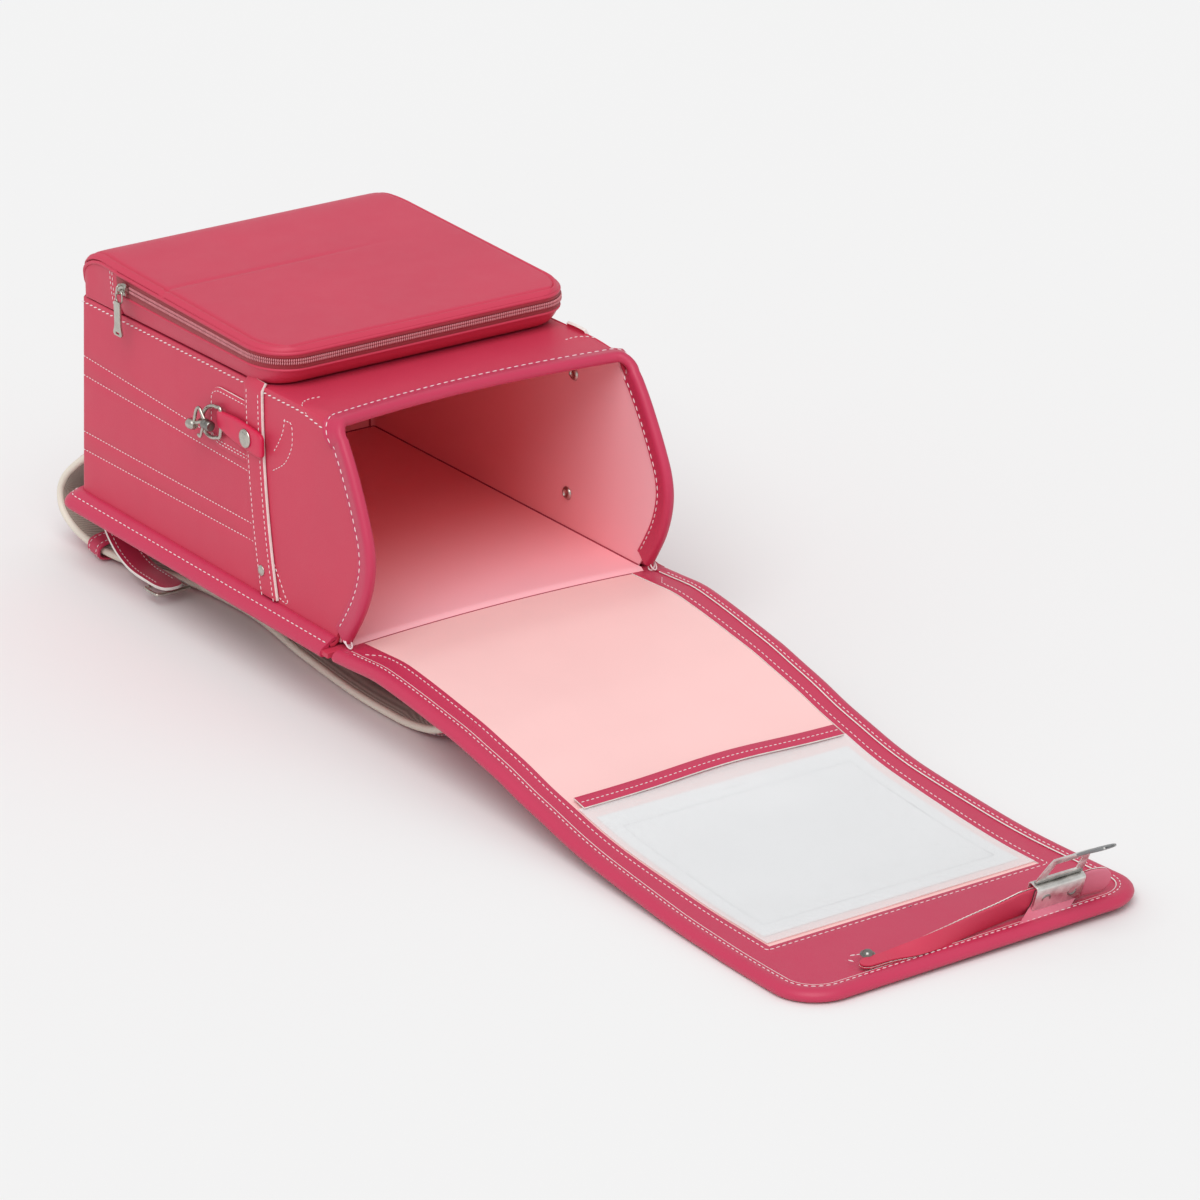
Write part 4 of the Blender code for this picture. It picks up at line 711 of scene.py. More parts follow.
def turned(name, profile, place, finish, steps=32):
    """A turned piece: a profile of radius and height round the local Z of a frame."""
    rings = []
    for radius, height in profile:
        rings.append([place @ Vector((max(radius, 0.00002) * math.cos(2 * math.pi * k / steps),
                                      max(radius, 0.00002) * math.sin(2 * math.pi * k / steps),
                                      height))
                      for k in range(steps)])
    return ringed(name, rings, finish, sharp=45.0)


def fitted(obj, body, slot, *nodes):
    """Put a finished piece on its body and hide the imported parts that it stands for; the slot is
    not used.
    """
    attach(obj, body)
    if nodes:
        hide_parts(*nodes)
    return obj


def on_bag(obj, slot, *nodes):
    return fitted(obj, "bag", slot, *nodes)


# Stitches

# Pitch, length and radius of a stitch, its lean from the seam, its thread and its slot
KINDS = {
    "fine": (0.0034, 0.0023, 0.00032, 0.0, THREAD, "pale_lining"),
    "plain": (0.0042, 0.0029, 0.00032, 0.0, THREAD, "pale_lining"),
    "bold": (0.0051, 0.0034, 0.00038, 0.0, THREAD, "pale_lining"),
    "slanted": (0.0050, 0.0038, 0.00046, 0.22, THREAD, "pale_lining"),
    "tooth": (0.0014, 0.0021, 0.00052, 7.0, ZIP_COIL, "zip_textile"),
}
SEAMS = {}


def sew(piece, kind, points, ups):
    """Note a seam: its path on the leather and the way out of the leather at each point."""
    SEAMS.setdefault((piece, kind),
                     []).append(([Vector(p) for p in points], [Vector(u) for u in ups]))


def stitch_tree():
    """Threads laid along a path, each a slim grain that may lean from the path."""
    tree = bpy.data.node_groups.new("stitches", "GeometryNodeTree")
    sockets = tree.interface
    sockets.new_socket("Geometry", in_out="INPUT", socket_type="NodeSocketGeometry")
    for label in ("Pitch", "Thread length", "Thread radius", "Lean"):
        sockets.new_socket(label, in_out="INPUT", socket_type="NodeSocketFloat")
    sockets.new_socket("Thread", in_out="INPUT", socket_type="NodeSocketMaterial")
    sockets.new_socket("Geometry", in_out="OUTPUT", socket_type="NodeSocketGeometry")
    new, link = tree.nodes.new, tree.links.new
    start, end = new("NodeGroupInput"), new("NodeGroupOutput")
    to_curve = new("GeometryNodeMeshToCurve")
    link(start.outputs["Geometry"], to_curve.inputs[0])
    divided = new("GeometryNodeResampleCurve")
    divided.mode = "LENGTH"
    link(to_curve.outputs[0], divided.inputs["Curve"])
    link(start.outputs["Pitch"], divided.inputs["Length"])
    way = new("GeometryNodeInputTangent")
    out = new("GeometryNodeInputNamedAttribute")
    out.data_type = "FLOAT_VECTOR"
    out.inputs["Name"].default_value = "out_of_leather"
    across = new("ShaderNodeVectorMath")
    across.operation = "CROSS_PRODUCT"
    link(out.outputs["Attribute"], across.inputs[0])
    link(way.outputs[0], across.inputs[1])
    lean = new("ShaderNodeVectorMath")
    lean.operation = "MULTIPLY_ADD"
    link(across.outputs[0], lean.inputs[0])
    link(start.outputs["Lean"], lean.inputs[1])
    link(way.outputs[0], lean.inputs[2])
    turn = new("FunctionNodeAlignRotationToVector")
    turn.axis = "Z"
    link(lean.outputs[0], turn.inputs["Vector"])
    grain = new("GeometryNodeMeshUVSphere")
    grain.inputs["Segments"].default_value = 6
    grain.inputs["Rings"].default_value = 5
    grain.inputs["Radius"].default_value = 1.0
    half = new("ShaderNodeMath")
    half.operation = "MULTIPLY"
    half.inputs[1].default_value = 0.5
    link(start.outputs["Thread length"], half.inputs[0])
    size = new("ShaderNodeCombineXYZ")
    link(start.outputs["Thread radius"], size.inputs[0])
    link(start.outputs["Thread radius"], size.inputs[1])
    link(half.outputs[0], size.inputs[2])
    laid = new("GeometryNodeInstanceOnPoints")
    link(divided.outputs[0], laid.inputs["Points"])
    link(grain.outputs["Mesh"], laid.inputs["Instance"])
    link(turn.outputs[0], laid.inputs["Rotation"])
    link(size.outputs[0], laid.inputs["Scale"])
    real = new("GeometryNodeRealizeInstances")
    link(laid.outputs[0], real.inputs[0])
    smooth = new("GeometryNodeSetShadeSmooth")
    link(real.outputs[0], smooth.inputs[0])
    dyed = new("GeometryNodeSetMaterial")
    link(smooth.outputs[0], dyed.inputs["Geometry"])
    link(start.outputs["Thread"], dyed.inputs["Material"])
    link(dyed.outputs[0], end.inputs[0])
    return tree


def socket_ids(tree):
    return {item.name: item.identifier for item in tree.interface.items_tree
            if item.item_type == "SOCKET" and item.in_out == "INPUT"}


def make_stitches():
    """One mesh of threads for each piece of stitching and kind of thread."""
    tree = stitch_tree()
    ids = socket_ids(tree)
    for (piece, kind), seams in SEAMS.items():
        pitch, length, radius, lean, thread, slot = KINDS[kind]
        mesh = bpy.data.meshes.new(piece)
        points, edges, ups = [], [], []
        for path, outs in seams:
            first = len(points)
            points += [point + BAG + out * (radius * 0.35) for point, out in zip(path, outs)]
            ups += outs
            edges += [(first + k, first + k + 1) for k in range(len(path) - 1)]
        mesh.from_pydata(points, edges, [])
        outward = mesh.attributes.new("out_of_leather", "FLOAT_VECTOR", "POINT")
        outward.data.foreach_set("vector", [value for up in ups for value in up])
        obj = in_scene(bpy.data.objects.new("%s_%s_stitches" % (piece, kind), mesh))
        step = obj.modifiers.new("stitches", "NODES")
        step.node_group = tree
        for label, value in (("Pitch", pitch), ("Thread length", length), ("Thread radius", radius),
                             ("Lean", lean), ("Thread", thread)):
            step[ids[label]] = value
        plain = settled(obj, 180.0)
        for attribute in [a.name for a in plain.data.attributes if a.name == "out_of_leather"]:
            plain.data.attributes.remove(plain.data.attributes[attribute])
        on_bag(plain, slot)


# Body

def depth_at(y):
    """Outer height of the front panel above the back board's inner face."""
    return DEPTH_MOUTH - (DEPTH_MOUTH - DEPTH_BOTTOM) * y / BODY_LENGTH


def half_width(z):
    return HALF_WIDTH - SIDE_TAPER * z / DEPTH_MOUTH


def rim_y(z):
    return read_table(RIM_TABLE, z / DEPTH_MOUTH)[0] * MOUTH_BULGE


def front_edge_y(x):
    share = min(abs(x) / half_width(DEPTH_MOUTH), 1.0)
    return FRONT_EDGE_CORNER + (FRONT_EDGE_MIDDLE - FRONT_EDGE_CORNER) * (1 - share ** 2)


def rim_height():
    return depth_at(0) - FRONT_SINK - WALL_MIDDLE


def rim_corner_x():
    return half_width(DEPTH_MOUTH) - WALL_MIDDLE - RIM_CORNER


def fold_round(y):
    """Radius of the fold between side and front: wide at the rim, small along the bag."""
    rim = RIM_CORNER + WALL_MIDDLE
    return mixed(rim, FOLD_ROUND, eased((y - FRONT_EDGE_CORNER) / FOLD_REACH))


def hinge_crown(x, y):
    """The board's and flap's small arch across the hinge."""
    across = max(1 - (x / (HALF_WIDTH - 2 * WALL)) ** 2, 0.0)
    return HINGE_CROWN * across * math.exp(-(y / CROWN_REACH) ** 2)


def wall_stations(sides, corners, bottom):
    """Stations round the U of the walls: kind, side, and share or angle; closer near the mouth."""
    near = [("side", -1, (k / sides) ** 1.3) for k in range(sides + 1)]
    near += [("corner", -1, 90 * k / corners) for k in range(1, corners)]
    far = [(kind, -side, share) for kind, side, share in near[::-1]]
    middle = [("bottom", 0, share) for share in spread(-1.0, 1.0, bottom)]
    return near + middle + far


def wall_point(station, rim_share, height, inset):
    """A point of the U-shaped wall; height and inset are functions of y."""
    kind, side, share = station
    edge = rim_y(rim_share * DEPTH_MOUTH) + RIM_REACH + SOFT_GAP
    if kind == "side":
        y = edge + share * (BODY_LENGTH - BODY_CORNER - edge)
        z = height(y)
        return Vector((side * (half_width(z) - inset(y)), y, z))
    z, inside = height(BODY_LENGTH), inset(BODY_LENGTH)
    middle = half_width(z) - BODY_CORNER
    if kind == "bottom":
        return Vector((share * middle, BODY_LENGTH - inside, z))
    angle = math.radians(share)
    radius = BODY_CORNER - inside
    return Vector((side * (middle + radius * math.cos(angle)),
                   BODY_LENGTH - BODY_CORNER + radius * math.sin(angle), z))


def seam_share(line, y):
    """Height share of a side seam at a place along the bag."""
    at_bottom, at_strap = line
    along = min(max((y - SEAM_END_Y) / (BODY_LENGTH - SEAM_END_Y), 0.0), 1.0)
    return mixed(at_strap, at_bottom, along)


def side_height(y, share):
    top = depth_at(y) - fold_round(y)
    return FOOT_HEIGHT + share * (top - FOOT_HEIGHT)


def side_rows():
    """The side's rows between foot and fold: the seam line pair, and how deep its groove is."""
    anchors = [((0.0, 0.0), 0.0)]
    for at_bottom, at_strap in SEAM_LINES:
        for step, groove in ((-SEAM_REACH, 0.0), (0.0, 1.0), (SEAM_REACH, 0.0)):
            anchors.append(((at_bottom + step, at_strap + step), groove))
    anchors.append(((1.0, 1.0), 0.0))
    rows = []
    for (first, groove), (second, _) in zip(anchors, anchors[1:]):
        count = max(1, round((second[0] - first[0]) / 0.045))
        for k in range(count):
            share = k / count
            pair = (mixed(first[0], second[0], share), mixed(first[1], second[1], share))
            rows.append((pair, groove if k == 0 else 0.0))
    return rows + [((1.0, 1.0), 0.0)]


def make_gusset():
    """Near side, bottom and far side in one, with pressed seam lines and a rounded fold on top."""
    rows = []
    folds = [45 * k / 6 for k in range(1, 7)]
    for station in wall_stations(36, 6, 14):
        row = []
        for outward, z in FLANGE_SECTION:
            row.append(wall_point(station, 0.0, lambda y: z, lambda y: -outward))
        for line, groove in side_rows():
            on_side = 1.0 if station[0] == "side" else 0.0

            def inset(y):
                return SEAM_GROOVE * groove * on_side * eased((y - SEAM_END_Y) / 0.012)

            row.append(wall_point(station, line[1], lambda y: side_height(y, seam_share(line, y)),
                                  inset))
        for angle in folds:
            turn = math.radians(angle)
            row.append(wall_point(station, 1.0,
                                  lambda y: depth_at(y) - fold_round(y) * (1 - math.sin(turn)),
                                  lambda y: fold_round(y) * (1 - math.cos(turn))))
        rows.append(row)
    obj = hide("side_gusset_shell", rows, WALL, LEATHER)
    on_bag(obj, "pink_leather", "side_gusset")


def make_gusset_lining():
    """The lining of the walls, ending under the front panel's."""
    drop = FRONT_SINK + WALL + GAP
    deep = WALL + GAP
    rows = []
    for station in wall_stations(24, 5, 8):
        row = [wall_point(station, share,
                          lambda y: GAP + share * (depth_at(y) - drop - fold_round(y) - GAP),
                          lambda y: deep) for share in spread(0.0, 1.0, 16)]
        for angle in (12, 24, 36, 45):
            turn = math.radians(angle)
            row.append(wall_point(
                station, 1.0,
                lambda y: depth_at(y) - drop - fold_round(y)
                + max(fold_round(y) - deep, 0.0002) * math.sin(turn),
                lambda y: deep + max(fold_round(y) - deep, 0.0002) * (1 - math.cos(turn))))
        rows.append(row)
    obj = hide("wall_lining", rows, LINING, SHADED_BODY_LINING, edge=0)
    on_bag(obj, "pale_lining", "gusset_lining")


def front_surface(x, y, drop):
    """Height of the front panel, which turns down at its sides into the fold."""
    radius = fold_round(y)
    into = abs(x) - (half_width(DEPTH_MOUTH) - radius)
    fall = radius - math.sqrt(max(radius ** 2 - into ** 2, 0.0)) if into > 0 else 0.0
    return depth_at(y) - drop - fall


def front_rows(drop, deep):
    """Grid of the front panel or its lining: from the mouth's bowed edge to the bag's bottom."""
    rows = []
    for share in [(k / 26) ** 1.4 for k in range(27)]:
        row = []
        for part in [-1 + k / 22 for k in range(45)]:
            start = front_edge_y(part * half_width(DEPTH_MOUTH)) + RIM_REACH + SOFT_GAP
            end = BODY_LENGTH - WALL - GAP
            y = start + share * (end - start)
            flat = half_width(DEPTH_MOUTH) - fold_round(y)
            reach = 1 if deep < 0.001 else 0.6
            edge = flat + (fold_round(y) - deep) * math.sin(math.radians(45)) * reach
            x = signed_power(part, 0.8) * edge
            row.append((x, y, front_surface(x, y, drop)))
        rows.append(row)
    return rows


def make_front():
    obj = hide("front_panel_shell", front_rows(FRONT_SINK, 0.0), WALL - GAP, LEATHER)
    on_bag(obj, "pink_leather", "front_panel")
    obj = hide("front_lining_sheet", front_rows(FRONT_SINK + WALL, WALL), LINING, SHADED_BODY_LINING,
               edge=0)
    on_bag(obj, "pale_lining", "front_lining")


def make_back():
    """The board's lining inside, with its small arch at the hinge."""
    inside = WALL + LINING + 3 * GAP
    rows = []
    for share in [(k / 40) ** 1.5 for k in range(41)]:
        y = HINGE_START + share * (BODY_LENGTH - inside - HINGE_START)
        into = max(y - (BODY_LENGTH - inside - BODY_CORNER + inside), 0.0)
        half = HALF_WIDTH - inside - (BODY_CORNER
                                      - math.sqrt(max(BODY_CORNER ** 2 - into ** 2, 0.0)))
        row = []
        for part in spread(-1.0, 1.0, 31):
            lead = 0.0022 * (1 - eased((y - HINGE_START) / 0.0045)) ** 2
            row.append((part * half, y, hinge_crown(part * half, y) - lead))
        rows.append(row)
    obj = hide("board_lining", rows, LINING, SHADED_BODY_LINING, flip=True, edge=0)
    on_bag(obj, "pale_lining", "back_lining")


def rim_path():
    """The binding's line round the mouth: middle of the wall, way out of the bag."""
    right = []
    for share in spread(RIM_START, 0.905, 56):
        z = share * DEPTH_MOUTH
        right.append((Vector((half_width(z) - WALL_MIDDLE, rim_y(z), z)), ACROSS))
    corner_x, corner_z = rim_corner_x(), rim_height() - RIM_CORNER
    for angle in spread(0.0, 90.0, 15):
        turn, share = math.radians(angle), angle / 90
        y = rim_y(corner_z) * (1 - share) + front_edge_y(corner_x) * share
        out = Vector((math.cos(turn), 0, math.sin(turn)))
        right.append((Vector((corner_x, y, corner_z)) + out * RIM_CORNER, out))
    for share in spread(0.93, 0.0, 15):
        x = corner_x * share
        right.append((Vector((x, front_edge_y(x), rim_height())), UP))
    left = [(Vector((-p.x, p.y, p.z)), Vector((-o.x, o.y, o.z))) for p, o in right[:-1]]
    return left + right[::-1]


def rim_frames():
    """Point, way out of the wall and way back from the rim, for each step of the mouth's edge."""
    path = rim_path()
    points = [point for point, _ in path]
    found = []
    for i, (point, out) in enumerate(path):
        way = way_at(points, i).normalized()
        back = Vector((0, 1, 0))
        back = (back - way * back.dot(way)).normalized()
        back = (back - out * back.dot(out)).normalized()
        found.append((point, out, back))
    return found


def rim_point(step, out_by, back_by):
    """A point off the rim; over the front it follows the panel's fall towards the bottom."""
    point, out, back = step
    spot = point + out * out_by + back * back_by
    fall = (DEPTH_MOUTH - DEPTH_BOTTOM) / BODY_LENGTH * spot.y * max(out.z, 0.0)
    return spot - Vector((0, 0, fall))


def make_mouth_binding():
    """The rolled strip round the mouth, with a lip on either side of the wall, and its stitches."""
    steps = rim_frames()
    rings = [[rim_point(step, o * MM, b * MM) for o, b in RIM_SECTION] for step in steps]
    obj = ringed("mouth_binding_roll", rings, BINDING)
    on_bag(obj, "binding_leather", "mouth_binding")
    for out_by, sign in ((2.55 * MM, 1), (-2.55 * MM, -1)):
        sew("mouth", "bold", [rim_point(s, out_by, RIM_STITCH_BACK) for s in steps[2:-2]],
            [s[1] * sign for s in steps[2:-2]])


def back_edge_path(outward_z):
    """Points round the back edge for each pair of outward place and height."""
    stations = wall_stations(30, 8, 16)
    return [[wall_point(station, 0.0, lambda y: z * MM, lambda y: -o * MM) for o, z in outward_z]
            for station in stations]


def make_back_binding():
    """The folded strip over the back edge, sloping from the wall to a thick round edge."""
    obj = ringed("back_binding_roll", back_edge_path(BACK_SECTION), BINDING)
    on_bag(obj, "binding_leather", "back_binding")
    seam = [row[0] for row in back_edge_path(((7.2, 1.9),))]
    sew("back_edge", "bold", seam[1:-1], [Vector((p.x, p.y - BODY_LENGTH / 2, 0)).normalized() * 0.5
                                          + Vector((0, 0, 0.86)) for p in seam[1:-1]])


def make_body_seams():
    """Stitches of the fold on top of each side and of the pressed lines."""
    lean = Vector((0, 0, SIDE_TAPER / DEPTH_MOUTH))
    for side in (-1, 1):
        out = Vector((side, 0, 0)) + lean
        strap = strap_y(side, DEPTH_MOUTH)
        half = SIDE_STRAP_WIDTH / 2 + 0.001
        for start, end in ((0.020, strap - half), (strap + half, BODY_LENGTH - 0.004)):
            path = []
            for y in spread(start, end, 30):
                z = depth_at(y) - fold_round(y) * 0.75 - 0.0024
                path.append(Vector((side * half_width(z), y, z)))
            sew("side_fold", "slanted", path, [out] * 30)
        for line in SEAM_LINES:
            path = []
            for y in spread(strap_y(side, side_height(SEAM_END_Y, line[1])) + half + 0.001,
                            BODY_LENGTH - 0.005, 30):
                z = side_height(y, seam_share(line, y))
                path.append(Vector((side * (half_width(z) - SEAM_GROOVE * 0.8), y, z)))
            sew("side_panel", "fine", path, [out] * 30)


def strap_y(side, z):
    """Middle of a side strap at a height."""
    foot, top = STRAP_ENDS[side]
    share = z / DEPTH_MOUTH
    return foot + (top - foot) * (1.84 * share - 0.84 * share ** 2)


# Flap

def flap_height(y, x=0.0):
    """Height of the flap's middle layer."""
    share = -y / FLAP_LENGTH
    drop = read_table(FLAP_TABLE, share)[0] * FLAP_DROP
    tipness = max(0.0, (share - 0.8) / 0.2)
    return -HINGE_DEPTH - drop - TIP_LIFT * tipness * x / FLAP_HALF_WIDTH + hinge_crown(x, y)


def flap_half(y, inset=0.0):
    """Half width of the flap inside its edge's middle line, with its waist and round corners."""
    share = -y / FLAP_LENGTH
    half = FLAP_HALF_WIDTH - FLAP_WAIST * math.sin(math.pi * min(share / 0.92, 1.0)) ** 2
    into = -y - (FLAP_LENGTH - FLAP_TIP_CORNER)
    if into <= 0:
        return half - inset
    radius = FLAP_TIP_CORNER - inset
    return half - FLAP_TIP_CORNER + math.sqrt(max(radius ** 2 - into ** 2, 0.0))


def window_half(y):
    return mixed(WINDOW_HALF_HINGE, WINDOW_HALF_TIP, -y / WINDOW_END)


FLAP_TOP = FLAP_LEATHER / 2
LAYER_BASE = FLAP_TOP + GAP
EDGE_BACK = PIPING_RADIUS + SOFT_GAP


def flap_stations(start, end, inset=0.0, step=0.007):
    """Places along the flap, closer together at the tip's round corners."""
    corner = FLAP_LENGTH - FLAP_TIP_CORNER
    radius = FLAP_TIP_CORNER - inset
    count = int((corner - 0.004) / step)
    places = [-(corner - 0.004) * k / count for k in range(1, count + 1)]
    places += [-(corner + radius * math.sin(math.radians(a))) for a in spread(0, 84, 13)]
    inside = [y for y in places if end + 0.0015 < y < start - 0.0015]
    return [start] + inside + [end]


def flap_sheet(name, start, end, half_of, low, thickness, finishes, columns=33, edge=CUT_EDGE_ROUND,
               wave=None):
    """A sheet on the flap between two places, at a height over its middle layer."""
    rows = []
    for y in flap_stations(start, end, EDGE_BACK):
        half = half_of(y)
        row = []
        for part in spread(-1.0, 1.0, columns):
            x = part * half
            lift = wave(x, y) if wave else 0.0
            row.append((x, y, flap_height(y, x) + low + thickness + lift))
        rows.append(row)
    return hide(name, rows, thickness, finishes, flip=True, edge=edge)


def make_flap():
    """Outer leather, pale lining, border with its tip band, and the strip round the edge."""
    end = -(FLAP_LENGTH - EDGE_BACK)
    obj = flap_sheet("flap_leather", -HINGE_START, end, lambda y: flap_half(y, EDGE_BACK),
                     -FLAP_TOP,
                     FLAP_LEATHER, LEATHER)
    on_bag(obj, "pink_leather", "flap")
    obj = flap_sheet("flap_lining_sheet", HINGE_START - GAP, -WINDOW_END,
                     lambda y: window_half(y) - GAP,
                     LAYER_BASE, LINING, LINING_FLAP, edge=0)
    on_bag(obj, "pale_lining", "flap_lining")

    top = LAYER_BASE + BORDER_LEATHER
    rows = []
    places = flap_stations(HINGE_START - GAP, -WINDOW_END)
    tail = [y for y in flap_stations(HINGE_START - GAP, end, EDGE_BACK) if y < -WINDOW_END - 0.003]
    for y in places + tail:
        outer = flap_half(y, EDGE_BACK)
        inner = min(window_half(max(y, -WINDOW_END)), outer * 0.96)
        right = [mixed(inner, outer, k / 6) for k in range(7)]
        middle = [inner * part for part in spread(-1.0, 1.0, 25)[1:-1]]
        row = [-x for x in right[::-1]] + middle + right
        rows.append([(x, y, flap_height(y, x) + top) for x in row])
    hollow = {(i, j) for i in range(len(places) - 1) for j in range(6, 6 + 24)}
    obj = hide("flap_border_band", rows, BORDER_LEATHER, (BINDING, RAW_EDGE), flip=True,
               holes=hollow)
    on_bag(obj, "binding_leather", "flap_border")
    make_flap_edge()
    make_flap_seams(top)


def flap_outline(start):
    """The edge's middle line from the hinge round the tip and back, with the way out of it."""
    near = []
    centre = FLAP_LENGTH - FLAP_TIP_CORNER
    for y in spread(start, -centre, 70):
        near.append(Vector((-flap_half(y), y, 0)))
    inner = FLAP_HALF_WIDTH - FLAP_TIP_CORNER
    reach = flap_half(-centre) - inner
    for angle in spread(0.0, 90.0, 19)[1:]:
        turn = math.radians(angle)
        near.append(Vector((-(inner + reach * math.cos(turn)),
                            -(centre + FLAP_TIP_CORNER * math.sin(turn)), 0)))
    front = [Vector((x, -FLAP_LENGTH, 0)) for x in spread(-inner, 0.0, 12)[1:]]
    half = near + front
    whole = half + [Vector((-p.x, p.y, 0)) for p in half[-2::-1]]
    found = []
    for i, point in enumerate(whole):
        way = way_at(whole, i)
        found.append((point, Vector((way.y, -way.x, 0)).normalized()))
    return found


def flap_edge_point(step, outward, rise):
    point, out = step
    spot = point + out * outward
    y = max(spot.y, -FLAP_LENGTH)
    return Vector((spot.x, spot.y, flap_height(y, spot.x) + rise))


def make_flap_edge():
    """The rolled strip over the flap's edge, whose cut lip shows pale on top."""
    outline = flap_outline(-0.002)
    rings = [[flap_edge_point(step, o * MM, z * MM) for o, z in FLAP_EDGE_SECTION]
             for step in outline]
    obj = ringed("flap_edge_roll", rings, BINDING)
    on_bag(obj, "binding_leather", "flap_piping")
    lip = [flap_edge_point(step, -EDGE_LIP_IN - 0.0001, 0.00345) for step in outline[1:-1]]
    obj = wire("flap_edge_cut", lip, 0.00042, RAW_EDGE, sides=6)
    on_bag(obj, "binding_leather")
    sew("flap_edge", "plain",
        [flap_edge_point(step, -EDGE_STITCH_IN, 0.00375) for step in outline[2:-2]],
        [UP] * (len(outline) - 4))


def make_flap_seams(top):
    """The inner stitch row of the border, which bends outwards at the hinge."""
    for side in (-1, 1):
        path = []
        for y in spread(-0.018, -(WINDOW_END + WINDOW_STITCH_OUT), 60):
            x = side * (window_half(max(y, -WINDOW_END)) + WINDOW_STITCH_OUT)
            hook = max(0.0, 1 - (-0.018 - y) / 0.012)
            path.append(Vector((x + side * 0.006 * hook ** 2, y, 0)))
        end = -(WINDOW_END + WINDOW_STITCH_OUT)
        path += [Vector((x, end, 0))
                 for x in spread(side * (WINDOW_HALF_TIP + WINDOW_STITCH_OUT), 0.0, 20)[1:]]
        path = [Vector((p.x, p.y, flap_height(p.y, p.x) + top)) for p in path]
        sew("flap_border", "plain", path, [UP] * len(path))


def header_wave(x, y):
    """The header's slack: a small hump off the lining near its middle."""
    return 0.0030 * math.exp(-((x - 0.012) / 0.050) ** 2)


def film_wave(x, y):
    """The film stands off the card a little under the header and lies flat further on."""
    under = max(0.0, 1 - (-y - HEADER_START) / 0.060)
    return header_wave(x, y) * under + 0.0003 * math.sin(x * 60) * math.sin(y * 45) ** 2


def make_flap_pocket():
    lining_top = LAYER_BASE + LINING
    obj = flap_sheet("plain_card", -CARD_START, -CARD_END, lambda y: CARD_HALF_WIDTH,
                     lining_top + GAP,
                     CARD, PAPER, edge=0)
    on_bag(obj, "card_paper", "timetable_card")

    def film_half(y):
        return window_half(y) - 2 * GAP

    obj = flap_sheet("pocket_film", -(HEADER_START + HEADER_WIDTH - 0.002), -FILM_END, film_half,
                     lining_top + 2 * GAP + CARD, FILM, FILM_CLEAR, edge=0, wave=film_wave)
    on_bag(obj, "clear_film", "clear_pocket")
    obj = flap_sheet("pocket_header_strip", -HEADER_START, -(HEADER_START + HEADER_WIDTH),
                     lambda y: film_half(y) - 0.0026,
                     lining_top + FILM + 3 * GAP + CARD, TRIM_LEATHER, (BINDING, RAW_EDGE),
                     wave=header_wave)
    on_bag(obj, "binding_leather", "pocket_header")
    y = -(HEADER_START + HEADER_WIDTH * 0.55)
    rise = lining_top + FILM + 3 * GAP + CARD + TRIM_LEATHER
    path = [Vector((x, y, flap_height(y, x) + rise + header_wave(x, y)))
            for x in spread(-film_half(y) + 0.005, film_half(y) - 0.005, 40)]
    sew("pocket_header", "fine", path, [UP] * 40)


# Front pocket

def wedge(y):
    return 1 + POCKET_RISE * (y - POCKET_FRONT) / (BODY_LENGTH - POCKET_FRONT)


def pocket_stations(sides=22, corners=12, fronts=22):
    near = [("side", -1, share) for share in spread(1.0, 0.0, sides)]
    near += [("corner", -1, angle) for angle in spread(0, 90, corners)[1:-1]]
    far = [(kind, -side, share) for kind, side, share in near[::-1]]
    return near + [("front", 0, share) for share in spread(-1.0, 1.0, fronts)] + far


def pocket_point(start_y, station, height, outward):
    """A point of the pocket's wall, bulged outward more at the mouth side than at the sides."""
    kind, side, share = station
    middle_x = POCKET_HALF_WIDTH - POCKET_CORNER
    middle_y = POCKET_FRONT + POCKET_CORNER
    side_out = POCKET_SIDE_BULGE * outward
    if kind == "side":
        x, y = side * (POCKET_HALF_WIDTH + side_out), middle_y + share * (start_y - middle_y)
    elif kind == "front":
        x, y = share * middle_x, POCKET_FRONT - outward
    else:
        turn = math.radians(share)
        x = side * (middle_x + (POCKET_CORNER + side_out) * math.cos(turn))
        y = middle_y - (POCKET_CORNER + outward) * math.sin(turn)
    return Vector((x, y, depth_at(y) + POCKET_LIFT + height * wedge(max(y, POCKET_FRONT))))


def pocket_band(name, section, thickness, finishes, edge=CUT_EDGE_ROUND):
    rows = [[pocket_point(ZIP_START, station, h, o) for h, o in section]
            for station in pocket_stations()]
    return hide(name, rows, thickness, finishes, flip=True, edge=edge)


def make_pocket():
    gusset = smoothed(((0.0, 0.0), (0.0020, 0.0030), (0.0060, 0.0070), (0.0112, 0.0104)), 4)
    on_bag(pocket_band("pocket_lower_wall", gusset, POCKET_LEATHER, LEATHER), "pink_leather",
           "pocket_gusset")
    low_top = CHAIN_HEIGHT - CHAIN_RADIUS - GAP
    high_low = CHAIN_HEIGHT + CHAIN_RADIUS + GAP
    lower = smoothed(((0.0116, 0.0107), (0.0136, 0.0113), (low_top, CHAIN_OUT - 0.0012)), 3)
    on_bag(pocket_band("zip_tape_low", lower, TAPE_THICKNESS, ZIP_CLOTH), "zip_textile",
           "zip_tape_lower")
    upper = smoothed(((high_low, CHAIN_OUT - 0.0012), (0.0204, 0.0115), (0.0222, 0.0099)), 3)
    on_bag(pocket_band("zip_tape_high", upper, TAPE_THICKNESS, ZIP_CLOTH), "zip_textile",
           "zip_tape_upper")
    make_pocket_top()
    for side, word in SIDES:
        make_pocket_end(side, word)
    for name, height, out, radius in (("pocket_upper_piping", 0.0218, 0.0100, 0.0014),
                                      ("pocket_lower_piping", 0.0114, 0.0106, 0.0009)):
        path = [pocket_point(ZIP_START, station, height, out) for station in pocket_stations()]
        on_bag(wire(name, path, radius, LEATHER, sides=10, first_side=UP), "pink_leather")


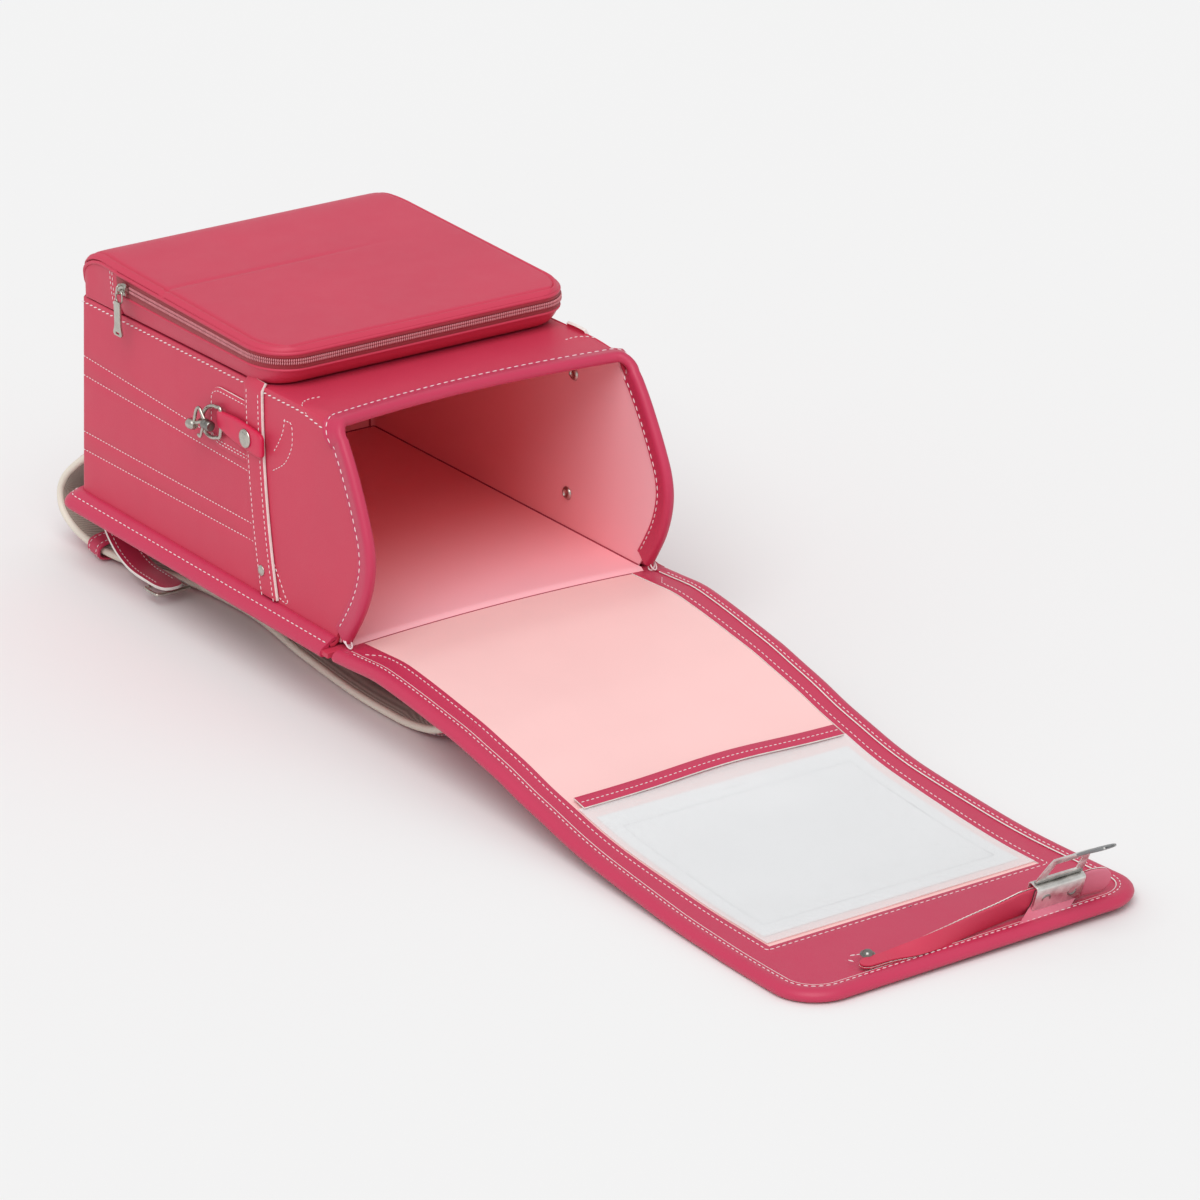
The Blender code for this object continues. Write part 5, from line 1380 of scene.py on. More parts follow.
def pocket_top_half(y):
    """Half width of the pocket's top, round at the mouth side and a little at the other."""
    side_out = POCKET_SIDE_BULGE * POCKET_EDGE
    into = (POCKET_FRONT + POCKET_CORNER - y) / (POCKET_CORNER + POCKET_EDGE)
    if into <= 0:
        past = max(y - (POCKET_END_Y - POCKET_END_CORNER), 0.0)
        cut = POCKET_END_CORNER - math.sqrt(max(POCKET_END_CORNER ** 2 - past ** 2, 0.0))
        narrower = POCKET_END_IN * eased((y - ZIP_START) / 0.03)
        return POCKET_HALF_WIDTH + side_out - cut - narrower
    round_off = math.sqrt(max(1 - into ** 2, 0.0))
    return POCKET_HALF_WIDTH - POCKET_CORNER + (POCKET_CORNER + side_out) * round_off


CREASE_Y = 0.2080
CREASE_DEPTH = 0.0007
CREASE_REACH = 0.0022
PIPE_IN = 0.0046
PIPE_GROOVE = 0.0012
PIPE_BEAD = 0.0005


def pocket_top_point(x, y):
    """A point of the pocket's top: rolled edge, piped groove along it, and a crease across."""
    inside = min(pocket_top_half(y) - abs(x), y - (POCKET_FRONT - POCKET_EDGE))
    swell = 1 - math.exp(-max(inside, 0.0) / POCKET_EDGE_ROLL)
    height = POCKET_EDGE_HEIGHT + (POCKET_HEIGHT - POCKET_EDGE_HEIGHT) * swell
    share = (y - POCKET_FRONT + POCKET_EDGE) / (POCKET_END_Y - POCKET_FRONT + POCKET_EDGE)
    height *= read_table(POCKET_ROLL_TABLE, share)[0]
    groove = PIPE_GROOVE * math.exp(-((inside - PIPE_IN) / 0.0007) ** 2)
    groove -= PIPE_BEAD * math.exp(-((inside - PIPE_IN + 0.0022) / 0.0013) ** 2)
    crease = CREASE_DEPTH * math.exp(-((y - CREASE_Y) / CREASE_REACH) ** 2)
    crease *= 1 - eased((x + 0.02) / 0.09)
    top = depth_at(y) + POCKET_LIFT + height * wedge(max(y, POCKET_FRONT))
    return Vector((x, y, top - groove - crease))


def make_pocket_top():
    """The pocket's top panel, rolled over at the bag's bottom."""
    front = POCKET_FRONT - POCKET_EDGE
    corner = POCKET_CORNER + POCKET_EDGE
    places = [front + corner * (1 - math.cos(math.radians(a))) for a in spread(0, 90, 26)]
    places += spread(front + corner, CREASE_Y - 0.008, 22)[1:]
    places += spread(CREASE_Y - 0.008, CREASE_Y + 0.008, 15)[1:]
    places += spread(CREASE_Y + 0.008, POCKET_END_Y - 0.030, 12)[1:]
    places += [POCKET_END_Y - 0.030 * math.cos(math.radians(a)) for a in spread(0, 90, 16)[1:]]
    inner = [0.0, 0.0008, 0.0018, 0.0028, 0.0034, 0.0040, 0.0046, 0.0052, 0.0058, 0.0066, 0.0080,
             0.0110]
    rows = []
    for y in places:
        half = pocket_top_half(y)
        edge = [half - d for d in inner]
        middle = [edge[-1] * part for part in spread(1.0, -1.0, 27)[1:-1]]
        row = edge + middle + [-x for x in edge[::-1]]
        rows.append([pocket_top_point(x, y) for x in row[::-1]])
    rows.append([(p.x, p.y, depth_at(p.y) + POCKET_LIFT) for p in rows[-1]])
    obj = hide("pocket_top_panel", rows, POCKET_LEATHER, LEATHER, sharp=60.0)
    on_bag(obj, "pink_leather", "pocket_top")


def make_pocket_end(side, word):
    """The round-topped leather end beside the zip, with its double stitch."""
    start = ZIP_START + 0.0008
    rows = []
    places = spread(start, POCKET_END_Y - POCKET_END_CORNER, 16)[:-1]
    places += [POCKET_END_Y - 0.0006 - POCKET_END_CORNER * (1 - math.sin(math.radians(a)))
               for a in spread(3, 87, 15)]
    for y in places:
        base = depth_at(y) + POCKET_LIFT
        ahead = min(y + POCKET_LEATHER + 0.0012, POCKET_END_Y)
        edge = pocket_top_point(pocket_top_half(ahead), ahead).z
        top = max(edge - POCKET_LEATHER - 0.0002, base + 0.002)
        row = []
        edge_out = pocket_top_half(y) - POCKET_HALF_WIDTH - 0.0002
        for part in spread(0.0, 1.0, 14):
            out = mixed(min(0.0014, edge_out), edge_out, math.sin(part * math.pi / 2))
            row.append(Vector((side * (POCKET_HALF_WIDTH + out), y, base + part * (top - base))))
        rows.append(row)
    obj = hide("pocket_end_" + word + "_wall", rows, POCKET_LEATHER, LEATHER, flip=side > 0)
    on_bag(obj, "pink_leather", "pocket_end_" + word)
    piping = [row[-1] + Vector((0, 0, 0.0003)) for row in rows]
    on_bag(wire("pocket_end_%s_piping" % word, piping, 0.0013, LEATHER, sides=10), "pink_leather")
    for back in POCKET_END_SEAMS:
        index = min(range(len(rows)), key=lambda k: abs(rows[k][0].y - (start + back)))
        path = [Vector((p.x + side * 0.0001, start + back, p.z)) for p in rows[index][1:-1]]
        sew("pocket_end", "fine", path, [Vector((side, 0, 0))] * len(path))


# Zip

def face_of_zip():
    """Outer face of the zip's tape at the slider, and the slider's own front."""
    tape_out = POCKET_SIDE_BULGE * (CHAIN_OUT - 0.0012)
    back = -(POCKET_HALF_WIDTH + tape_out + GAP)
    return back, back - SLIDER_DEPTH


def make_zip():
    """The closed chain on its bed, the slider with its bridge, and the pull."""
    bed = [(CHAIN_HEIGHT - 0.0019, CHAIN_OUT - 0.0016), (CHAIN_HEIGHT + 0.0019, CHAIN_OUT - 0.0016)]
    on_bag(pocket_band("zip_chain_bed", bed, 0.0006, ZIP_CLOTH, edge=0), "zip_textile", "zip_chain")
    stations = pocket_stations()
    middle = Vector((0, 0.2, 0))
    for lift in (-TOOTH_ROW, TOOTH_ROW):
        path = [pocket_point(SLIDER_Y - 0.003, station, CHAIN_HEIGHT + lift, CHAIN_OUT - 0.0007)
                for station in stations]
        outs = [Vector((p.x * 1.3, p.y - middle.y, 0)).normalized() for p in path]
        sew("zip_chain", "tooth", path, outs)
    back, front = face_of_zip()
    centre = pocket_point(SLIDER_Y, ("side", -1, 1.0), CHAIN_HEIGHT, CHAIN_OUT)
    y, z = centre.y, centre.z
    rings = []
    for along, half in ((-4.6, 2.6), (-4.2, 3.5), (-2.6, 4.0), (0.2, 3.9), (2.2, 3.1), (3.8, 2.7),
                        (4.6, 2.2)):
        rings.append(rounded_ring(Vector(((back + front) / 2, y + along * MM, z)), ACROSS,
                                  UP, SLIDER_DEPTH / 2, half * MM, 0.45))
    obj = ringed("zip_slider_body", rings, NICKEL, sharp=40.0)
    on_bag(obj, "nickel", "zip_slider")
    bridge = [(front + 0.0006, y, z + 0.0026), (front - 0.0021, y, z + 0.0025),
              (front - 0.0030, y, z + 0.0013),
              (front - 0.0030, y, z - 0.0013), (front - 0.0021, y, z - 0.0025),
              (front + 0.0006, y, z - 0.0026)]
    on_bag(wire("zip_bridge", soft_path(bridge, 4), 0.0006, NICKEL), "nickel")
    make_pull(Vector((front - 0.0014, y, z - 0.0026 + 0.0010 + GAP)))


def make_pull(axis):
    """The pull: a wire loop at its top, a slim plate and a wider foot with a slot."""
    half = PULL_WIDTH / 2 - 0.0007
    loop = [(half, 0.0), (half, -PULL_WINDOW), (-half, -PULL_WINDOW), (-half, 0.0)]
    loop = [(axis.x, axis.y + a, axis.z + b) for a, b in loop]
    first = wire("zip_pull_loop", soft_path(loop, 5, True), 0.00055, NICKEL, sides=8, closed=True)
    outline = [(0.86, -6.2), (1.00, -7.4), (0.97, -12.0), (0.93, -18.0), (0.95, -22.0),
               (1.12, -24.4),
               (1.34, -26.4), (1.36, -27.8), (1.05, -28.9), (0.60, -29.0)]
    rows = []
    for wide, down in outline:
        w = wide * PULL_WIDTH / 2
        rows.append([(axis.x - PULL_THICKNESS / 2, axis.y + part * w, axis.z + down * MM)
                     for part in (-1.0, -0.45, 0.45, 1.0)])
    second = hide("zip_pull_plate", rows, PULL_THICKNESS, NICKEL, holes={(6, 1)}, edge=0.0003,
                  flip=True)
    for obj, nodes in ((first, ("zip_pull",)), (second, ())):
        fitted(obj, "zip_pull", "nickel", *nodes)


def rounded_ring(centre, side, other, wide, tall, squareness=0.5, count=20):
    """A ring between an ellipse and a rectangle, round a centre."""
    ring = []
    power = 1 - squareness * 0.8
    for k in range(count):
        turn = 2 * math.pi * (k + 0.5) / count
        ring.append(centre + side * (signed_power(math.cos(turn), power) * wide)
                    + other * (signed_power(math.sin(turn), power) * tall))
    return ring


def soft_path(points, cuts, closed=False):
    """A smooth path through a few points."""
    points = [list(point) for point in points]
    if not closed:
        return [Vector(p) for p in smoothed(points, cuts)]
    ring = points[-2:] + points + points[:2]
    whole = smoothed(ring, cuts)
    return [Vector(p) for p in whole[2 * cuts:(2 + len(points)) * cuts]]


# Side straps, patches, tabs and hooks

def side_point(side, y, z, outward=0.0):
    return Vector((side * (half_width(z) + outward), y, z))


def side_frame(side, y, z, outward):
    """A frame on a side panel: local Z out of the panel, local X along the bag."""
    lean = math.atan2(SIDE_TAPER, DEPTH_MOUTH)
    out = Vector((side * math.cos(lean), 0, math.sin(lean)))
    along = Vector((0, 1, 0))
    return frame_of(along, out.cross(along), out, side_point(side, y, z, outward))


def over_fold(side, y, z, outward):
    """A point at a height on the side; above the fold's start it follows the fold over."""
    radius = fold_round(y)
    start = depth_at(y) - radius
    if z <= start:
        return side_point(side, y, z, outward)
    turn = min((z - start) / radius, 1.2)
    wide = half_width(DEPTH_MOUTH) - radius
    return Vector((side * (wide + (radius + outward) * math.cos(turn)), y,
                   start + (radius + outward) * math.sin(turn)))


def make_side_strap(side, word):
    """The strap down a side with its pale cut edges and two stitch rows."""
    out = STRAP_LEATHER + STRAP_LIFT
    rows, lines = [], ([], [])
    for share in spread(0.047, 1.0, 34):
        z = share * DEPTH_MOUTH
        middle = strap_y(side, z)
        row = []
        for across in spread(-1.0, 1.0, 9):
            y = middle + across * SIDE_STRAP_WIDTH / 2
            row.append(over_fold(side, y, z, out + STRAP_CROWN * (1 - across ** 2)))
        rows.append(row)
        if share < 0.965:
            for line, across in zip(lines, SIDE_STRAP_SEAMS):
                line.append(over_fold(side, middle + across * SIDE_STRAP_WIDTH / 2, z,
                                      out + 0.0002))
    obj = hide("side_strap_%s_leather" % word, rows, STRAP_LEATHER, (LEATHER, RAW_EDGE),
               flip=side < 0)
    on_bag(obj, "pink_leather", "side_strap_" + word)
    for line in lines:
        sew("side_strap", "fine", line, [Vector((side, 0, 0))] * len(line))


def make_patch(side, word):
    """The patch under the hook, round at its end, with a stitch row inside its outline."""
    middle_z = TAB_HEIGHT_Z + 0.0010
    end = strap_y(side, middle_z) + SIDE_STRAP_WIDTH / 2 + PATCH_LENGTH
    rows = []
    shares = [0.0, 0.2, 0.4,
              0.6] + [1 - PATCH_CORNER / PATCH_LENGTH * (1 - math.sin(math.radians(a)))
                      for a in spread(0, 84, 9)]

    def spot(share, up, lift):
        into = share * PATCH_LENGTH - (PATCH_LENGTH - PATCH_CORNER)
        half = PATCH_HEIGHT / 2
        if into > 0:
            half -= PATCH_CORNER - math.sqrt(max(PATCH_CORNER ** 2 - into ** 2, 0.0))
        z = middle_z + up * half
        start = strap_y(side, z) + SIDE_STRAP_WIDTH / 2 + 0.0008
        return side_point(side, start + share * (end - start), z, TRIM_LEATHER + STRAP_LIFT + lift)

    for share in shares:
        rows.append([spot(share, up, 0.0) for up in spread(-1.0, 1.0, 9)])
    obj = hide("hook_patch_%s_leather" % word, rows, TRIM_LEATHER, (LEATHER, RAW_EDGE),
               flip=side > 0)
    on_bag(obj, "pink_leather", "hook_patch_" + word)
    for inset in PATCH_SEAMS_IN:
        scale = 1 - inset / (PATCH_HEIGHT / 2)
        path = [spot(min(share, 0.985) * (1 - inset / PATCH_LENGTH), -scale, 0.0)
                for share in shares]
        path += [spot(min(share, 0.985) * (1 - inset / PATCH_LENGTH), scale, 0.0)
                 for share in shares[::-1]]
        if inset > 0.003:
            path = path[:len(shares)]
        sew("hook_patch", "fine", path, [Vector((side, 0, 0))] * len(path))


def make_rivet(name, node, placed, radius, rise, finish=None):
    """A pressed rivet: flat collar, shallow ring and low dome."""
    finish = finish or NICKEL
    profile = [(0.0, 0.0), (radius * 0.98, 0.0), (radius, rise * 0.15),
               (radius * 0.97, rise * 0.42),
               (radius * 0.86, rise * 0.60), (radius * 0.80, rise * 0.58),
               (radius * 0.74, rise * 0.70),
               (radius * 0.50, rise * 0.92), (radius * 0.24, rise), (0.0, rise)]
    obj = turned(name, profile[::-1], placed, finish)
    return on_bag(obj, "nickel", node)


def make_side_fittings(side, word):
    """Everything on one side: strap, patch, tab with its rivet, lower rivet and eyelets inside."""
    make_side_strap(side, word)
    make_patch(side, word)
    centre_y = strap_y(side, TAB_HEIGHT_Z)
    inner = STRAP_LEATHER + STRAP_LIFT + GAP
    start = centre_y - TAB_BEFORE
    rings = []
    for share, height, thick in ((0.0, 0.62, 0.55), (0.012, 0.76, 0.85), (0.04, 0.90, 1.0),
                                 (0.12, 0.99, 1.0),
                                 (0.30, 1.0, 1.0), (0.50, 1.0, 1.0), (0.64, 0.95, 1.0),
                                 (0.76, 0.84, 1.0),
                                 (0.88, 0.74, 1.0), (0.96, 0.68, 0.95), (0.99, 0.62, 0.80),
                                 (1.0, 0.54, 0.50)):
        y = start + share * TAB_LENGTH
        rise = TAB_TILT * (y - centre_y - RIVET_AHEAD)
        centre = side_point(side, y, TAB_HEIGHT_Z + rise, inner + TAB_THICKNESS / 2)
        rings.append(rounded_ring(centre, Vector((side, 0, 0)), UP, TAB_THICKNESS / 2 * thick,
                                  TAB_HALF_HEIGHT * height, 0.7, 28))
    on_bag(ringed("hook_tab_%s_moulding" % word, rings, TAB_PLASTIC), "bright_plastic",
           "hook_tab_" + word)
    face = inner + TAB_THICKNESS + GAP
    make_rivet("tab_rivet_%s_cap" % word, "tab_rivet_" + word,
               side_frame(side, centre_y + RIVET_AHEAD, TAB_HEIGHT_Z, face), RIVET_RADIUS, 0.0017)
    make_rivet("strap_rivet_%s_cap" % word, "strap_rivet_" + word,
               side_frame(side, strap_y(side, SMALL_RIVET_Z) + 0.0030, SMALL_RIVET_Z,
                          STRAP_LEATHER + STRAP_LIFT + GAP),
               SMALL_RIVET_RADIUS, 0.0014)
    for level, z in (("upper", TAB_HEIGHT_Z + 0.0060), ("lower", SMALL_RIVET_Z + 0.0035)):
        placed = side_frame(side, strap_y(side, z) - 0.0010, z, -(WALL + 2 * GAP + LINING))
        placed = placed @ Matrix.Rotation(math.pi, 4, "X")
        profile = [(0.0, 0.0004), (0.0017, 0.0004), (0.0021, 0.0007), (0.0026, 0.0014),
                   (0.0034, 0.0014),
                   (0.0041, 0.0008), (EYELET_RADIUS, 0.0001), (EYELET_RADIUS * 0.98, 0.0),
                   (0.0, 0.0)]
        on_bag(turned("inner_eyelet_%s_%s_ring" % (level, word), profile, placed, NICKEL), "nickel",
               "inner_eyelet_%s_%s" % (level, word))
    make_hook(side, word, start + TAB_LENGTH - 0.0030, inner + TAB_THICKNESS / 2)


def make_hook(side, word, bar_y, bar_out):
    """The D ring through the tab and the snap hook that hangs on it."""

    def at(along, rise, outward):
        return side_point(side, bar_y + along, TAB_HEIGHT_Z + rise, bar_out + outward)

    body = "hook_" + word
    corners = ((0.0, -0.5), (0.0, 0.5), (0.22, 0.62), (0.50, 0.64), (0.80, 0.50), (1.0, 0.20),
               (1.0, -0.20), (0.80, -0.50), (0.50, -0.64), (0.22, -0.62))
    ring = [at(a * RING_LENGTH, b * RING_HEIGHT * 0.78 - 0.20 * a * RING_LENGTH, 0.0) for a,
            b in corners]
    fitted(wire("hook_%s_d_ring" % word, soft_path(ring, 5, True), RING_WIRE, NICKEL, sides=10,
                closed=True),
           body, "nickel", "hook_ring_" + word)
    forward, fall = 0.0040, -0.0080
    block, block_end, knob, knob_end = 0.0050, 0.0130, 0.0230, 0.0315
    along_bag = Matrix.Rotation(-math.pi / 2, 4, "X")
    long = block_end - block
    r = BLOCK_RADIUS
    profile = [(0.0, long), (r * 0.80, long), (r, long - 0.0007), (r, long * 0.66),
               (r * 0.86, long * 0.60),
               (r * 0.86, long * 0.40), (r, long * 0.34), (r, 0.0007), (r * 0.80, 0.0), (0.0, 0.0)]
    obj = turned("hook_%s_swivel" % word, profile,
                 Matrix.Translation(at(block, fall * 0.4, forward)) @ along_bag,
                 DARK_NICKEL, 24)
    fitted(obj, body, "nickel", "hook_body_" + word)
    long = knob_end - knob
    r = KNOB_RADIUS
    profile = [(0.0, long), (r * 0.55, long - 0.0002), (r * 0.86, long - 0.0009),
               (r, long - 0.0024),
               (r * 0.98, long * 0.45), (r * 0.84, long * 0.22), (r * 0.60, long * 0.12),
               (r * 0.55, 0.0),
               (0.0, 0.0)]
    obj = turned("hook_%s_knob" % word, profile,
                 Matrix.Translation(at(knob, fall, forward)) @ along_bag,
                 NICKEL, 24)
    fitted(obj, body, "nickel")
    stem = [at(block_end - 0.0010, fall * 0.2, forward), at(knob + 0.0010, fall * 0.8, forward)]
    fitted(wire("hook_%s_stem" % word, stem, 0.0012, NICKEL, sides=10), body, "nickel")
    upper = [at(block_end - 0.0020, fall * 0.5 + 0.0020, forward),
             at(block_end + 0.0020, 0.0016, forward),
             at(block_end + 0.0060, 0.0052, forward), at(knob - 0.0004, 0.0020, forward),
             at(knob + 0.0020, fall + 0.0012, forward)]
    fitted(wire("hook_%s_claw" % word, soft_path(upper, 5), HOOK_WIRE * 1.1, NICKEL, sides=8), body,
           "nickel")
    eye = ((0.0, -1.95), (1.6, -1.2), (2.0, 0.5), (1.2, 2.6), (0.0, 3.3), (-1.2, 2.6), (-2.0, 0.5),
           (-1.6, -1.2))
    eye = [at(RING_LENGTH + a * MM, -0.20 * RING_LENGTH, o * MM) for a, o in eye]
    fitted(wire("hook_%s_eye" % word, soft_path(eye, 3, True), 0.0006, NICKEL, sides=8,
                closed=True),
           body, "nickel")
    gate = [at(block_end + HOOK_WIRE + GAP, fall * 0.4 - 0.0024, forward),
            at(block_end + 0.0036, fall - 0.0042, forward),
            at(knob - 0.0052, fall - 0.0052, forward), at(knob - 0.0036, fall - 0.0046, forward)]
    fitted(wire("hook_%s_spring_gate" % word, soft_path(gate, 5), HOOK_WIRE, NICKEL, sides=8),
           "gate_" + word, "nickel", "hook_gate_" + word)


def make_side_outlines(side):
    """Stitched outlines beside the strap, and the small hook of stitches on the front."""
    inner = ((71.0, 124.0), (71.8, 119.5), (73.3, 115.0), (77.2, 108.2), (81.7, 102.0))
    upper = ((71.0, 124.0), (66.4, 124.4), (62.9, 123.3), (61.9, 116.0), (62.9, 108.3),
             (70.0, 97.0), (82.4, 88.8))
    lower = ((89.6, 38.4), (84.0, 32.0), (76.0, 22.0), (68.0, 11.5), (64.5, 7.8), (69.0, 7.2),
             (76.0, 9.0),
             (83.0, 14.5), (88.5, 22.0))
    shift = strap_y(side, 0.08) - strap_y(-1, 0.08)
    for outline in (inner, upper, lower):
        path = [side_point(side, y * MM + shift, z * MM, 0.0) for y, z in
                [(p.x, p.y) for p in soft_path([(a, b, 0.0) for a, b in outline], 5)]]
        sew("side_panel", "fine", path, [Vector((side, 0, 0))] * len(path))
    path = []
    for x, y in ((91.0, 60.0), (97.0, 60.5), (103.0, 58.0), (107.0, 53.0), (108.0, 47.5)):
        path.append(Vector((side * x * MM, y * MM,
                            front_surface(side * x * MM, y * MM, FRONT_SINK))))
    sew("front_panel", "fine", soft_path(path, 5), [UP] * (4 * 5 + 1))


def make_seam_shade_cords():
    """Dark red cords along the inside's corner seams, which carry painted shade of the corners, a
    cord of painted shade along the hinge's crease, and the knots at the hinge's ends.
    """
    inset = WALL + GAP + LINING + 0.0003
    # Dark cord along the floor's corner seam: the seam line with the corner's shade painted into
    # it.
    path = [wall_point(station, 0.0, lambda y: 0.0009, lambda y: inset)
            for station in wall_stations(24, 6, 8)]
    path = [Vector((p.x, p.y, p.z + hinge_crown(p.x, p.y))) for p in path]
    on_bag(wire("floor_seam_shade_cord", path, 0.0007, DARK_SEAM_SHADE, sides=8), "pale_lining")
    # Painted shade of the lining's crease at the hinge, as a dark cord along it.
    half = HALF_WIDTH - inset - 0.002
    path = [(x, 0.0013, hinge_crown(x, 0.0013) - 0.0009) for x in spread(-half, half, 40)]
    on_bag(wire("hinge_crease_painted_shade", path, 0.0005, DARK_SEAM_SHADE, sides=8), "pale_lining")
    for side, word in SIDES:
        x = half_width(0.07) - BODY_CORNER * 0.35 - inset
        y = BODY_LENGTH - BODY_CORNER * 0.35 - inset
        upright = [Vector((side * (x - 0.0020 * share), y, 0.002 + share * (DEPTH_BOTTOM - 0.0075)))
                   for share in spread(0.0, 1.0, 8)]
        on_bag(wire("corner_seam_shade_cord_" + word, upright, 0.0006, DARK_SEAM_SHADE, sides=8), "pale_lining")
        for turn in (0.0, 0.9):
            centre = Vector((side * (HALF_WIDTH - 0.0006), -0.0035 + turn * 0.0024,
                             0.0042 - turn * 0.001))
            loop = [centre + Vector((side * 0.0019 * math.cos(a), 0.0022 * math.sin(a),
                                     0.0026 * math.sin(a + turn)))
                                     for a in spread(0, 2 * math.pi, 13)[:-1]]
            obj = wire("hinge_knot_%s_%d" % (word, turn > 0.5), loop, 0.00045, THREAD, sides=6,
                       closed=True)
            on_bag(obj, "pale_lining")


# Closure strap, hasp and tongue

def closure_frame(x_share):
    """The strap's frame at a place: X across the bag, Y up its width, Z out of its face."""
    back, lift, turn = read_table(CLOSURE_TABLE, x_share)
    x = x_share * FLAP_HALF_WIDTH
    y = -FLAP_LENGTH + back * CLOSURE_WIDTH
    angle = math.radians(turn)
    along = Vector((0, math.cos(angle), math.sin(angle)))
    normal = Vector((0, -math.sin(angle), math.cos(angle)))
    base = flap_height(y, x) + LAYER_BASE + BORDER_LEATHER + SOFT_GAP + lift * CLOSURE_WIDTH
    half = normal * (CLOSURE_LEATHER / 2 * math.cos(angle))
    return frame_of(ACROSS, along, normal, Vector((x, y, base)) + half)


def closure_span(x_share):
    """The strap's middle and width there: slim up to its bend, round at both ends."""
    x = x_share * FLAP_HALF_WIDTH
    start, end = CLOSURE_TABLE[0][0] * FLAP_HALF_WIDTH, CLOSURE_TABLE[-1][0] * FLAP_HALF_WIDTH
    grown = min(max((x_share - CLOSURE_TABLE[0][0]) / 0.92, 0.0), 1.0)
    wide = CLOSURE_WIDTH * mixed(CLOSURE_SLIM, 1.0, grown ** 2)
    wide *= mixed(1.0, 0.90, eased((x_share - 0.70) / 0.10))
    width = wide
    for distance, reach in ((x - start, 0.0062), (end - x, 0.0080)):
        if distance < reach:
            width *= math.sqrt(max(1 - (1 - max(distance, 0.0) / reach) ** 2, 0.04))
    return wide / 2 - CLOSURE_START_LOWER * (1 - grown), width


def closure_sheet(name, shares, face, thick, finish):
    """One layer of the strap between two of its places."""
    rows = []
    for share in shares:
        placed, (middle, width) = closure_frame(share), closure_span(share)
        rows.append([placed @ Vector((0, middle + part * width, face))
                     for part in spread(-0.5, 0.5, 9)])
    return hide(name, rows, thick, finish, edge=0.0004 if finish is not RAW_EDGE else 0)


def make_closure():
    """The strap in three layers with its stitches, rivet, hasp and tongue."""
    first, last = CLOSURE_TABLE[0][0], CLOSURE_TABLE[-1][0]
    tail = last - 0.066
    body = spread(first, first + 0.052, 9) + spread(first + 0.06, FREE_END_AT, 52)
    free = spread(FREE_END_AT, tail - 0.01, 8) + spread(tail, last, 9)
    whole = body + free[1:]
    half = CLOSURE_LEATHER / 2
    for name, shares, face, thick, finish in (
            ("closure_strap_face", body, half, CLOSURE_FACE, LEATHER),
            ("closure_strap_end", free, half, CLOSURE_FACE, BRIGHT_STRAP),
            ("closure_strap_core", whole, half - CLOSURE_FACE, CLOSURE_CORE, RAW_EDGE),
            ("closure_strap_back", whole, half - CLOSURE_FACE - CLOSURE_CORE, CLOSURE_BACK,
             LEATHER)):
        obj = closure_sheet(name, shares, face, thick, finish)
        nodes = ("closure_strap",) if name.endswith("face") else ()
        on_bag(obj, "pink_leather", *nodes)
    for part in CLOSURE_SEAMS:
        for face, sign in ((half, 1), (-half, -1)):
            path, outs = [], []
            for share in whole[7:-7]:
                placed, (middle, width) = closure_frame(share), closure_span(share)
                path.append(placed @ Vector((0, middle + part * width, face)))
                outs.append((placed.to_3x3() @ UP) * sign)
            sew("closure_strap", "fine", path, outs)
    spot = closure_frame(CLOSURE_RIVET_AT) @ Matrix.Translation((0, CLOSURE_RIVET_UP, half + GAP))
    profile = [(0.0, 3.0), (1.3, 2.85), (2.4, 2.3), (3.1, 1.3), (3.3, 0.75), (3.8, 0.8),
               (4.3, 0.55), (4.4, 0.15),
               (4.2, 0.0), (0.0, 0.0)]
    on_bag(turned("closure_rivet_dome", scaled(profile), spot, DARK_NICKEL),
           "nickel", "closure_rivet")
    for start, end in (((-9.4, 2.4), (-5.6, -3.0)), ((-5.0, 6.6), (-1.4, 5.6)),
                       ((1.6, 6.4), (5.4, 5.0)),
                       ((5.4, 2.2), (8.8, -2.4))):
        path = [spot @ Vector((mixed(start[0], end[0], k / 4) * MM,
                               mixed(start[1], end[1], k / 4) * MM,
                               -GAP - CLOSURE_LEATHER)) for k in range(5)]
        sew("closure_anchor", "bold", path, [UP] * 5)
    make_hasp()


